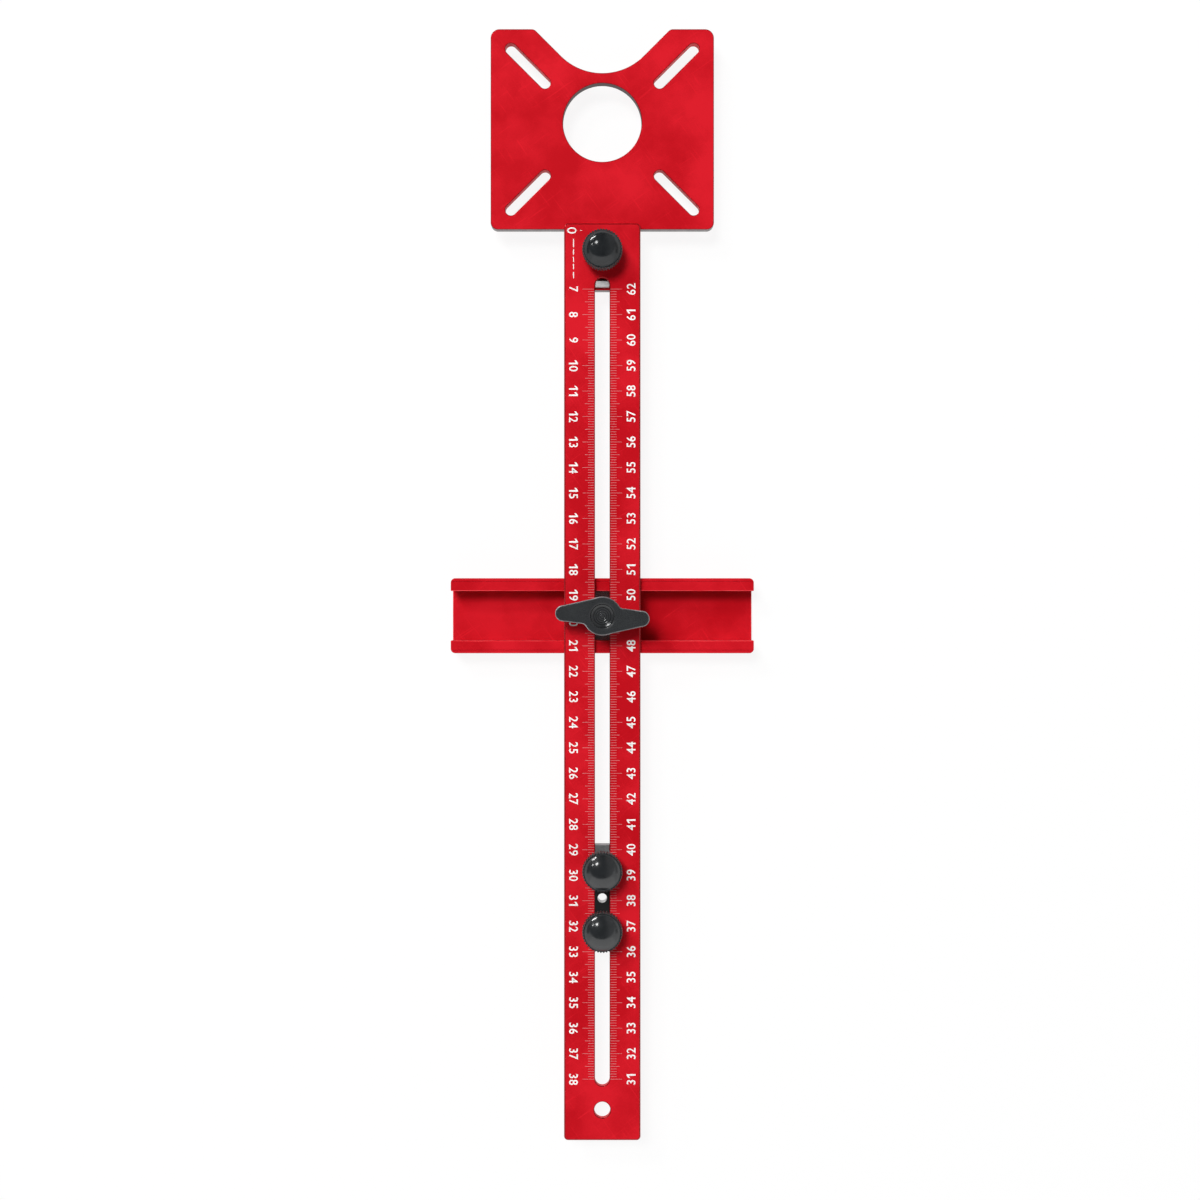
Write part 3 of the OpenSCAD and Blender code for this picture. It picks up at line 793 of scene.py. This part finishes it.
def tick_row(inner, outer, side, first_y, step, ticks, top, scale):
    """A row of ticks on one side of the slot, each from inner to outer."""
    row = add_bar(
        "tick_row", side * (inner + outer) / 2, first_y, (outer - inner, scale.tick_width), top, scale.film
    )
    apply_modifier(
        row, "ARRAY", count=ticks, use_relative_offset=False, use_constant_offset=True,
        constant_offset_displace=(0, -step, 0),
    )
    return row


class CIRCLE_JIG_OT_ticks(bpy.types.Operator):
    """Ticks of the scale along both edges of the slot"""

    bl_idname = "circle_jig.ticks"
    bl_label = "Scale ticks"

    def execute(self, context):
        jig = context.scene.circle_jig
        scale = jig.scale
        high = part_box("ruler_bar")[1]
        reach_mm = (scale.last_number - scale.first_number) * 10
        lengths = (0, scale.short_tick, scale.middle_tick, scale.long_tick)
        rows = []
        for side in (-1, 1):
            for step, inner, outer in zip(TICK_STEPS, lengths, lengths[1:]):
                rows.append(tick_row(
                    scale.slot_half + inner, scale.slot_half + outer - scale.tick_gap, side,
                    high.y - scale.start, step * MM, reach_mm // step + 1, high.z, scale,
                ))
        ticks = join("scale_ticks", rows)
        dress(ticks, jig.colours, "pale_print")
        hand_over(ticks, "base_and_ruler", "red_anodised")
        return {"FINISHED"}


def model_digit(digit, scale, bold):
    """One printed digit at the origin, upright and still at the font's own width."""
    select_none()
    bpy.ops.object.text_add(location=(0, 0, 0))
    label = bpy.context.object
    label.data.body = digit
    label.data.size = scale.number_height
    label.data.extrude = scale.film / 2
    label.data.offset = bold
    label.data.resolution_u = 3
    bpy.ops.object.convert(target="MESH")
    label = named(f"digit_{digit}")
    bpy.ops.object.origin_set(type="ORIGIN_GEOMETRY", center="BOUNDS")
    label.location = (0, 0, scale.film / 2)
    return label


def model_one(scale):
    """A printed 1 with a flag, at the origin."""
    one = draw_line("digit_1", [
        Vector((x * scale.number_width, y * scale.number_height, 0)) for x, y in ONE_OUTLINE
    ])
    select_mesh()
    bpy.ops.mesh.edge_face_add()
    raise_faces(scale.film)
    close_up()
    leave_edit()
    return one


def model_digits(scale):
    """The ten digits, each once, sized so that an 8 has the scale's width and height."""
    digits = {digit: model_digit(digit, scale, scale.number_bold) for digit in "023456789"}
    digits["thin 0"] = model_digit("0", scale, 0.0)
    eight = digits["8"].dimensions
    size = (scale.number_width / eight.x, scale.number_height / eight.y, 1)
    for label in digits.values():
        select_only(label)
        label.scale = size
        settle()
    digits["1"] = model_one(scale)
    return digits


class CIRCLE_JIG_OT_numbers(bpy.types.Operator):
    """Numbers of the scale, in a column on each side of the slot, and the dashes below the zero"""

    bl_idname = "circle_jig.numbers"
    bl_label = "Scale numbers"

    def execute(self, context):
        jig = context.scene.circle_jig
        scale = jig.scale
        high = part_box("ruler_bar")[1]
        digits = model_digits(scale)
        pieces = []
        for number in range(scale.first_number, scale.last_number + 1):
            y = high.y - scale.start - (number - scale.first_number) * CENTIMETRE
            for side, shown in ((-1, str(number)), (1, str(scale.number_sum - number))):
                for index, digit in enumerate(shown):
                    along = (index - (len(shown) - 1) / 2) * scale.number_pitch * side
                    place = (side * scale.number_x, y + along, high.z)
                    pieces.append(lay_copy(digits[digit], "digit", place, side * FULL_TURN / 4))
        size = (scale.zero_width / scale.number_width, scale.zero_height / scale.number_height, 1)
        place = (-scale.zero_x, high.y - scale.zero_y, high.z)
        pieces.append(lay_copy(digits["thin 0"], "zero", place, -FULL_TURN / 4, size))
        bars = [(-scale.zero_tick_x, high.y - scale.zero_y, (scale.zero_tick, scale.tick_width))]
        for start, dash in ZERO_DASHES:
            bars.append((-scale.number_x, high.y - (start + dash / 2) * MM, (scale.dash_width, dash * MM)))
        for x, y, size in bars:
            pieces.append(add_bar("dash", x, y, size, high.z, scale.film))
        column = join("scale_numbers", pieces)
        select_none()
        for label in digits.values():
            label.select_set(True)
        bpy.ops.object.delete()
        edit(column)
        close_up()
        leave_edit()
        dress(column, jig.colours, "white_print")
        hand_over(column, "base_and_ruler", "red_anodised")
        return {"FINISHED"}


# Fence, block and washers
class CIRCLE_JIG_OT_fence(bpy.types.Operator):
    """Edge fence with rounded edges, painted paler along its mouth as painted highlight"""

    bl_idname = "circle_jig.fence"
    bl_label = "Edge fence"

    def execute(self, context):
        jig = context.scene.circle_jig
        fence = round_edges(copy_node("fence_channel", "edge_fence"), jig.shapes.fence_edge, segments=2)
        line = middle("fence_channel").y

        def at_mouth(face):
            return abs(face.calc_center_median().y - line) < jig.shapes.mouth_reach

        dress(
            fence, jig.colours, "blasted_red",
            # The edges along the mouth are painted paler red as painted highlight
            worn_red=lambda face: between(face.normal.z, FENCE_EDGES) and at_mouth(face),
        )
        hand_over(fence, "fence", "red_anodised", "fence_channel")
        return {"FINISHED"}


class CIRCLE_JIG_OT_block(bpy.types.Operator):
    """Pivot block that slides in the ruler's slot, dark in the middle as painted shade and lighter at its
    ends as painted light
    """

    bl_idname = "circle_jig.block"
    bl_label = "Pivot block"

    def execute(self, context):
        jig = context.scene.circle_jig
        block = copy_node("pivot_block", "slot_block")
        low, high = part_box("pivot_block")
        bare = (low.y + jig.shapes.bare_end, high.y - jig.shapes.bare_end)
        edit(block)
        for y in bare:
            select_mesh()
            bpy.ops.mesh.bisect(plane_co=(0, y, 0), plane_no=(0, 1, 0))
        round_edges(block, jig.shapes.metal_edge)
        hole = middle("pivot_block")
        reach = jig.shapes.pin_r + 2 * jig.shapes.metal_edge

        def in_bore(face):
            return all(math.hypot(vert.co.x - hole.x, vert.co.y - hole.y) < reach for vert in face.verts)

        def at_end(face):
            return not bare[0] < face.calc_center_median().y < bare[1]

        # The dark middle is painted shade between the knobs; the lighter ends are painted light
        dress(block, jig.colours, "ground_steel", milled_key=in_bore, sawn_steel=at_end)
        hand_over(block, "pivot_block", "grey_steel", "pivot_block")
        return {"FINISHED"}


class CIRCLE_JIG_OT_washers(bpy.types.Operator):
    """Plated washers under the four knobs"""

    bl_idname = "circle_jig.washers"
    bl_label = "Washers"

    def execute(self, context):
        jig = context.scene.circle_jig
        for knob in (*ROUND_KNOBS, "wing"):
            node = f"{knob}_knob_washer"
            washer = round_edges(copy_node(node, f"{knob}_washer_ring"), jig.shapes.metal_edge)
            dress(washer, jig.colours, "zinc_plate")
            hand_over(washer, f"{knob}_washer", "bright_steel", node)
        return {"FINISHED"}


# Round knobs and bolts
def press_ridges(grip, centre, ridges, rim_r, depth, inside_r):
    """Presses columns of a grip's rim inwards, so that ridges stand between grooves."""
    columns = len(RIDGE_COLUMNS)
    edit(grip)

    def column_of(vert):
        away = Vector((vert.co.x - centre.x, vert.co.y - centre.y))
        if away.length < inside_r:
            return -1
        return round(math.atan2(away.y, away.x) / FULL_TURN * columns * ridges) % columns

    for pressed in sorted(set(RIDGE_COLUMNS) - {0.0}):
        wanted = [i for i, column in enumerate(RIDGE_COLUMNS) if column == pressed]
        press = (rim_r - pressed * depth) / rim_r
        choose(grip, "verts", lambda vert: column_of(vert) in wanted)
        bpy.ops.transform.resize(value=(press, press, 1), center_override=(centre.x, centre.y, 0))
    leave_edit()


def hex_prism(name, centre, flats, low_z, high_z):
    """A six-sided prism of this width across its flats."""
    return add_piece(
        name, "cylinder", vertices=6, radius=flats / math.sqrt(3), depth=high_z - low_z,
        location=(centre.x, centre.y, (low_z + high_z) / 2),
    )


def cut_with(piece, cutter):
    """Cuts one piece out of another, splits the many-sided faces that leaves and deletes the cutter."""
    apply_modifier(piece, "BOOLEAN", operation="DIFFERENCE", object=cutter, solver="MANIFOLD")
    edit(piece)
    choose(piece, "faces", lambda face: len(face.verts) > 4)
    bpy.ops.mesh.quads_convert_to_tris()
    select_mesh()
    bpy.ops.mesh.dissolve_degenerate(threshold=WELD)
    close_up()
    leave_edit()
    select_only(cutter)
    bpy.ops.object.delete()


def model_grip(name, centre, low_z, top, rim_r, spigot_z, jig):
    """A knurled grip on a collar, bored for its bolt and open at the top for its cap."""
    shapes = jig.shapes
    edge = shapes.ridge_lead
    rim_low = low_z + shapes.collar_h + shapes.flare_h
    rim_high = top - shapes.shoulder_h
    bore_r = shapes.bolt_r + shapes.press_gap
    pocket_r = shapes.spigot_r + shapes.press_gap
    grip = turn(name, [
        (bore_r, low_z), (shapes.collar_r - edge, low_z), (shapes.collar_r, low_z + edge),
        (shapes.collar_r, low_z + shapes.collar_h), (shapes.shoulder_r, rim_low), (rim_r - edge, rim_low),
        (rim_r, rim_low + edge), (rim_r, rim_high - edge), (rim_r - edge, rim_high),
        (shapes.shoulder_r, rim_high), (shapes.shoulder_r, top - edge), (shapes.shoulder_r - edge, top),
        (pocket_r, top), (pocket_r, spigot_z), (bore_r, spigot_z), (bore_r, low_z),
    ], centre, len(RIDGE_COLUMNS) * shapes.ridges)
    inside_r = (shapes.shoulder_r + rim_r - edge) / 2
    press_ridges(grip, centre, shapes.ridges, rim_r, shapes.ridge_depth, inside_r)
    flats = shapes.bolt_head + 2 * shapes.press_gap
    cut_with(grip, hex_prism("pocket", centre, flats, rim_low, spigot_z + POCKET_OVERCUT))
    smooth(grip, degrees=30)
    ring = (shapes.shoulder_r - RING_INSIDE, shapes.shoulder_r + RING_OUTSIDE)

    def in_ring(face):
        return face.calc_center_median().z > rim_high and between(off_axis(face, centre), ring)

    dress(grip, jig.colours, "pebbled_grip", shaded_ring=in_ring)
    return grip


def model_dome(name, centre, low_z, seat_z, top, cap_r, shapes):
    """A domed cap with a spigot below it and a fine rounded edge where it meets the grip."""
    dome_h = top - seat_z
    dome_r = (cap_r * cap_r + dome_h * dome_h) / (2 * dome_h)
    spread = math.asin((cap_r - DOME_EDGE / 2) / dome_r)
    arc = [
        (dome_r * math.sin(spread * i / DOME_RINGS), top - dome_r * (1 - math.cos(spread * i / DOME_RINGS)))
        for i in range(DOME_RINGS, -1, -1)
    ]
    dome = turn(name, [
        (0, low_z), (shapes.spigot_r - DOME_EDGE, low_z), (shapes.spigot_r, low_z + DOME_EDGE),
        (shapes.spigot_r, seat_z), (cap_r - 2 * DOME_EDGE, seat_z), *arc,
    ], centre, DOME_STEPS)
    smooth(dome, degrees=40)
    return dome


class CIRCLE_JIG_OT_round_knobs(bpy.types.Operator):
    """Knurled grips and domed caps of the three round knobs"""

    bl_idname = "circle_jig.round_knobs"
    bl_label = "Round knobs"

    def execute(self, context):
        jig = context.scene.circle_jig
        low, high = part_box("base_knob_body")
        cap_low, cap_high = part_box("base_knob_cap")
        centre = middle("base_knob_body")
        rim_r = (high.x - low.x) / 2
        cap_r = (cap_high.x - cap_low.x) / 2 - jig.shapes.dome_gap
        grip = model_grip("base_grip", centre, low.z, high.z, rim_r, cap_low.z, jig)
        dome = model_dome("base_dome", centre, cap_low.z, high.z, cap_high.z, cap_r, jig.shapes)
        for knob in ROUND_KNOBS:
            move = middle(f"{knob}_knob_body") - centre
            move.z = 0
            is_base = knob == "base"
            grip_here = grip if is_base else lay_copy(grip, f"{knob}_grip", move)
            dome_here = dome if is_base else lay_copy(dome, f"{knob}_dome", move)
            hand_over(grip_here, f"{knob}_knob", "knob_plastic", f"{knob}_knob_body")
            dress(dome_here, jig.colours, "worn_dome" if is_base else "polished_dome")
            hand_over(dome_here, f"{knob}_knob", "cap_plastic", f"{knob}_knob_cap")
        return {"FINISHED"}


def threaded_stem(name, centre, low_z, high_z, shapes, chamfer_low):
    """A rod with a real helical thread, closed at both ends and chamfered at its free end."""
    pitch = shapes.thread_pitch
    crest_r = shapes.bolt_r - THREAD_PLAY
    root_r = crest_r - shapes.thread_depth
    start = low_z - SPARE_TURNS * pitch
    stem = draw_line(name, [
        Vector((root_r, 0, start)), Vector((crest_r, 0, start + CREST[0] * pitch)),
        Vector((crest_r, 0, start + CREST[1] * pitch)), Vector((root_r, 0, start + pitch)),
    ])
    leave_edit()
    apply_modifier(
        stem, "SCREW", axis="Z", angle=FULL_TURN, screw_offset=pitch, steps=THREAD_STEPS,
        render_steps=THREAD_STEPS, iterations=math.ceil((high_z - low_z) / pitch) + 2 * SPARE_TURNS,
        use_merge_vertices=True, merge_threshold=WELD,
    )
    edit(stem)
    close_up()
    low_cut = low_z + STEM_CHAMFER * chamfer_low
    high_cut = high_z - STEM_CHAMFER * (not chamfer_low)
    for height, side in ((low_cut, {"clear_inner": True}), (high_cut, {"clear_outer": True})):
        select_mesh()
        bpy.ops.mesh.bisect(plane_co=(0, 0, height), plane_no=UP, **side)
    close_up()
    bpy.ops.mesh.fill_holes(sides=0)
    close_up()
    end_z, way = (low_cut, -1) if chamfer_low else (high_cut, 1)

    def is_free_end(face):
        return face.normal.z * way > FLAT and abs(face.calc_center_median().z - end_z) < WELD

    choose(stem, "faces", is_free_end)
    raise_faces(way * STEM_CHAMFER)
    bpy.ops.transform.resize(value=(STEM_TAPER, STEM_TAPER, 1), center_override=(0, 0, 0))
    select_mesh()
    bpy.ops.transform.translate(value=(centre.x, centre.y, 0))
    close_up()
    leave_edit()
    smooth(stem, degrees=40)
    return stem


def plain_rod(name, centre, radius, low_z, high_z):
    """A round rod with closed ends."""
    rod = turn(name, [(0, low_z), (radius, low_z), (radius, high_z), (0, high_z)], centre, ROD_STEPS)
    smooth(rod)
    return rod


class CIRCLE_JIG_OT_bolts(bpy.types.Operator):
    """Bolts of the three round knobs: a threaded stem, a plain shank and a six-sided head"""

    bl_idname = "circle_jig.bolts"
    bl_label = "Knob bolts"

    def execute(self, context):
        jig = context.scene.circle_jig
        shapes = jig.shapes
        for knob in ROUND_KNOBS:
            node = f"{knob}_knob_bolt"
            low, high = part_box(node)
            centre = middle(node)
            shank_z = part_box(f"{knob}_knob_body")[0].z
            head_z = high.z - shapes.bolt_head_h
            stem = threaded_stem("stem", centre, low.z, shank_z, shapes, chamfer_low=True)
            shank = plain_rod("shank", centre, shapes.bolt_r, shank_z, head_z)
            head = hex_prism("head", centre, shapes.bolt_head, head_z, high.z)
            round_edges(head, shapes.metal_edge)
            bolt = join(f"{knob}_screw", [stem, shank, head])
            dress(bolt, jig.colours, "zinc_plate")
            hand_over(bolt, f"{knob}_knob", "bright_steel", node)
        return {"FINISHED"}


def add_block(name, centre, z, size, edge):
    """A block with rounded edges, with its middle at this height."""
    block = add_piece(name, "cube", scale=size, size=1, location=(centre.x, centre.y, z))
    return round_edges(block, edge)


class CIRCLE_JIG_OT_fence_bolt(bpy.types.Operator):
    """The fence's bolt: a flat head, a plain shank, a flat-sided neck and a threaded stem"""

    bl_idname = "circle_jig.fence_bolt"
    bl_label = "Fence bolt"

    def execute(self, context):
        jig = context.scene.circle_jig
        shapes = jig.shapes
        low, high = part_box("fence_t_bolt")
        centre = middle("fence_t_bolt")
        neck_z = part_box("ruler_bar")[0].z
        neck_top = neck_z + shapes.neck_h
        head_z = low.z + shapes.head_t / 2
        head_size = (shapes.head_l, high.y - low.y, shapes.head_t)
        neck_size = (shapes.neck_w, shapes.neck_l, shapes.neck_h)
        head = add_block("head", centre, head_z, head_size, FLAT_HEAD_EDGE)
        neck = add_block("neck", centre, (neck_z + neck_top) / 2, neck_size, shapes.metal_edge)
        shank = plain_rod("shank", centre, shapes.bolt_r, head_z, neck_z + shapes.neck_h / 2)
        stem = threaded_stem("stem", centre, neck_top - shapes.neck_h / 4, high.z, shapes, chamfer_low=False)
        bolt = join("fence_bolt_forging", [head, neck, shank, stem])
        dress(bolt, jig.colours, "zinc_plate")
        hand_over(bolt, "fence_bolt", "bright_steel", "fence_t_bolt")
        return {"FINISHED"}


# Wing knob
def model_wing_cap(name, centre, low_z, top, radius, shapes):
    """A dished disc with a lip and ring grooves round its middle."""
    lip_r = radius - shapes.cap_lip
    floor_r = lip_r - shapes.cap_dish / CAP_SLOPE
    floor_z = top - shapes.cap_dish
    pitch = floor_r / (shapes.cap_rings + 0.5)
    wall = shapes.cap_ring_depth / CAP_SLOPE
    groove_z = floor_z - shapes.cap_ring_depth
    profile = [
        (0, low_z), (radius, low_z), (radius, top - CAP_EDGE), (radius - CAP_EDGE, top), (lip_r, top),
        (floor_r, floor_z),
    ]
    for ring in range(shapes.cap_rings, 0, -1):
        outer = (ring + CAP_GROOVE_HALF) * pitch
        inner = (ring - CAP_GROOVE_HALF) * pitch
        profile += [(outer, floor_z), (outer - wall, groove_z), (inner + wall, groove_z), (inner, floor_z)]
    cap = turn(name, [*profile, (0, floor_z)], centre, CAP_STEPS)
    smooth(cap, degrees=20)
    return cap


class CIRCLE_JIG_OT_wing_knob(bpy.types.Operator):
    """Moulded wing knob with its ringed cap and brass insert"""

    bl_idname = "circle_jig.wing_knob"
    bl_label = "Wing knob"

    def execute(self, context):
        jig = context.scene.circle_jig
        shapes = jig.shapes
        wing = copy_node("wing_knob_body", "wing_moulding")
        apply_modifier(wing, "REMESH", mode="VOXEL", voxel_size=shapes.wing_grain)
        apply_modifier(wing, "SMOOTH", factor=0.5, iterations=shapes.wing_rounds)
        smooth(wing, degrees=60)
        low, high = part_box("wing_knob_cap")
        hub = middle("wing_knob_cap")
        cap_r = (high.x - low.x) / 2
        land_z = high.z - shapes.cap_dish

        def is_rubbed(face):
            return between(face.normal.z, WING_EDGES) and off_axis(face, hub) > cap_r + WING_SEAT

        def is_land(face):
            return abs(face.calc_center_median().z - land_z) < NEAR

        # The wing knob's edges are painted pale as painted highlight
        dress(wing, jig.colours, "matt_wing", rubbed_edge=is_rubbed)
        hand_over(wing, "wing_knob", "wing_plastic", "wing_knob_body")
        cap = model_wing_cap("wing_cap", hub, low.z, high.z, cap_r, shapes)
        # The cap's dish and grooves are painted darker as painted shade; its lands keep the wing's own tone
        dress(cap, jig.colours, "moulded_cap", matt_wing=is_land)
        hand_over(cap, "wing_knob", "wing_plastic", "wing_knob_cap")
        insert = round_edges(copy_node("wing_knob_insert", "wing_insert"), shapes.metal_edge)
        dress(insert, jig.colours, "turned_brass")
        hand_over(insert, "wing_knob", "brass", "wing_knob_insert")
        return {"FINISHED"}


# Stage
def white_to_lookers(tree):
    """1 for rays that look at the background, straight or by reflection, and 0 for light on the jig."""
    rays = add_node(tree, "LightPath")
    total = rays.outputs["Is Camera Ray"]
    for kind in ("Is Glossy Ray", "Is Transmission Ray"):
        total = add_node(tree, "Math", {0: total, 1: rays.outputs[kind]}, operation="MAXIMUM")
    return total


def lay_floor(place, stage):
    """A pale floor that shows nearly white, keeps the jig's shadow and is clear from below."""
    floor = add_piece("floor", "plane", size=stage.floor_size, location=place)
    paper = new_material("white_floor")
    tree = paper.node_tree
    tree.nodes.remove(tree.nodes["Principled BSDF"])
    shown = add_node(tree, "Math", {0: white_to_lookers(tree), 1: stage.floor_glow}, operation="MULTIPLY")
    top = add_node(tree, "MixShader", {
        "Fac": shown, 1: add_node(tree, "BsdfDiffuse", {"Color": FLOOR_GREY}), 2: add_node(tree, "Emission"),
    })
    below = add_node(tree, "NewGeometry").outputs["Backfacing"]
    sides = add_node(tree, "MixShader", {"Fac": below, 1: top, 2: add_node(tree, "BsdfTransparent")})
    feed(tree, tree.nodes["Material Output"], {"Surface": sides})
    floor.data.materials.append(paper)


def light_all_round(scene, strength):
    """Even light from all round, in front of a white background."""
    scene.world = bpy.data.worlds.new("studio")
    scene.world.use_nodes = True
    tree = scene.world.node_tree
    fill = tree.nodes["Background"]
    feed(tree, fill, {"Color": WHITE, "Strength": strength})
    white = add_node(tree, "Background", {"Color": WHITE})
    mix = add_node(tree, "MixShader", {"Fac": white_to_lookers(tree), 1: fill, 2: white})
    feed(tree, tree.nodes["World Output"], {"Surface": mix})


def graded_felt(glow):
    """Black felt that turns softly to a pale card on the right."""
    felt = new_material("graded_felt")
    tree = felt.node_tree
    axes = add_node(tree, "SeparateXYZ", {"Vector": add_node(tree, "TexCoord").outputs["Object"]})
    fade = add_node(tree, "MapRange", {
        "Value": axes.outputs["X"], "From Min": FELT_FADE[0], "From Max": FELT_FADE[1], "To Max": glow,
    }, interpolation_type="SMOOTHSTEP")
    feed(tree, tree.nodes["Principled BSDF"], {
        "Base Color": FELT_BLACK, "Roughness": 1.0, "Emission Color": WHITE, "Emission Strength": fade,
    })
    return felt


def hang_flag(flag, felt):
    """Makes a stage card of a flat piece, which shapes reflections and which the camera doesn't see."""
    flag.data.materials.append(felt)
    flag.visible_camera = False


def add_flag(name, corner, side_a, side_b, felt):
    """A flat flag, from one corner and two sides."""
    flag = add_piece(name, "plane", size=1)
    edit(flag)
    bpy.ops.transform.translate(value=(0.5, 0.5, 0))
    leave_edit()
    place = Matrix((side_a, side_b, side_a.cross(side_b).normalized())).transposed().to_4x4()
    place.translation = corner
    flag.matrix_world = place
    settle()
    hang_flag(flag, felt)


def add_lamp(name, target, stage, level, tilt, way, spread, seen=True, lights=True):
    """A rectangular lamp that points at the jig from a distance.

    level names the setting with the share of plain light that it gives, tilt is its angle off the vertical in
    degrees, way its direction across the floor, and spread its two widths as seen from the jig. One that
    isn't seen makes no reflection, and one that doesn't light makes nothing else.
    """
    tilt = math.radians(tilt)
    sideways = Vector((*way, 0)).normalized()
    offset = LAMP_DISTANCE * (math.cos(tilt) * UP + math.sin(tilt) * sideways)
    select_none()
    bpy.ops.object.light_add(type="AREA", location=target + offset)
    lamp = bpy.context.object
    lamp.name = name
    lamp.rotation_euler = (-offset).to_track_quat("-Z", "Y").to_euler()
    lamp.data.shape = "RECTANGLE"
    lamp.data.size, lamp.data.size_y = (LAMP_DISTANCE * angle for angle in spread)
    lamp.data.energy = getattr(stage, level) * (math.pi * LAMP_DISTANCE) ** 2 / math.cos(tilt)
    lamp.visible_glossy = seen
    lamp.visible_diffuse = lights


class CIRCLE_JIG_OT_stage(bpy.types.Operator):
    """White floor, even light, lamps from the upper left and the camera over the ruler"""

    bl_idname = "circle_jig.stage"
    bl_label = "Stage"

    def execute(self, context):
        scene = context.scene
        stage = scene.circle_jig.stage
        scene.view_settings.view_transform = "Standard"
        low, high = CAD_BOX
        target = Vector((0, (low.y + high.y) / 2, 0))
        lay_floor((0, target.y, low.z - FLOOR_GAP), stage)
        light_all_round(scene, stage.fill)
        felt = graded_felt(stage.card_glow)
        top_flag = add_piece(
            "top_flag", "circle", vertices=TOP_FLAG_SIDES, radius=TOP_FLAG_RADIUS, fill_type="NGON",
            location=target + Vector(TOP_FLAG_PLACE),
        )
        hang_flag(top_flag, felt)
        for name, (corner, side_a, side_b) in FLAGS.items():
            add_flag(name, target + Vector(corner), Vector(side_a), Vector(side_b), felt)
        for name, lamp in LAMPS.items():
            add_lamp(name, target, stage, **lamp)
        select_none()
        ruler_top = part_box("ruler_bar")[1].z
        bpy.ops.object.camera_add(
            location=(stage.camera_x, stage.camera_y, ruler_top + stage.camera_height)
        )
        scene.camera = bpy.context.object
        scene.camera.data.sensor_width = SENSOR_WIDTH
        scene.camera.data.lens = stage.lens
        scene.camera.data.clip_start = CLIP_START
        return {"FINISHED"}


class CIRCLE_JIG_PT_panel(bpy.types.Panel):
    """Steps that build the jig"""

    bl_idname = "CIRCLE_JIG_PT_panel"
    bl_label = "Circle jig"
    bl_space_type = "VIEW_3D"
    bl_region_type = "UI"
    bl_category = "Circle jig"

    def draw(self, context):
        for step in STEPS:
            self.layout.operator(step.bl_idname)


GROUPS = (JigColours, JigScale, JigShapes, JigStage, JigSettings)
STEPS = (
    CIRCLE_JIG_OT_stage, CIRCLE_JIG_OT_plate, CIRCLE_JIG_OT_ruler, CIRCLE_JIG_OT_ticks,
    CIRCLE_JIG_OT_numbers, CIRCLE_JIG_OT_fence, CIRCLE_JIG_OT_block, CIRCLE_JIG_OT_washers,
    CIRCLE_JIG_OT_round_knobs, CIRCLE_JIG_OT_bolts, CIRCLE_JIG_OT_fence_bolt, CIRCLE_JIG_OT_wing_knob,
)
CLASSES = (*GROUPS, *STEPS, CIRCLE_JIG_PT_panel)


def register():
    """Registers the classes and the jig's settings."""
    for cls in CLASSES:
        bpy.utils.register_class(cls)
    bpy.types.Scene.circle_jig = PointerProperty(type=JigSettings)


def unregister():
    """Takes them out again."""
    del bpy.types.Scene.circle_jig
    for cls in reversed(CLASSES):
        bpy.utils.unregister_class(cls)


def main():
    """Builds every piece in order."""
    register()
    for step in STEPS:
        group, name = step.bl_idname.split(".")
        getattr(getattr(bpy.ops, group), name)()


if __name__ == "__main__":
    main()
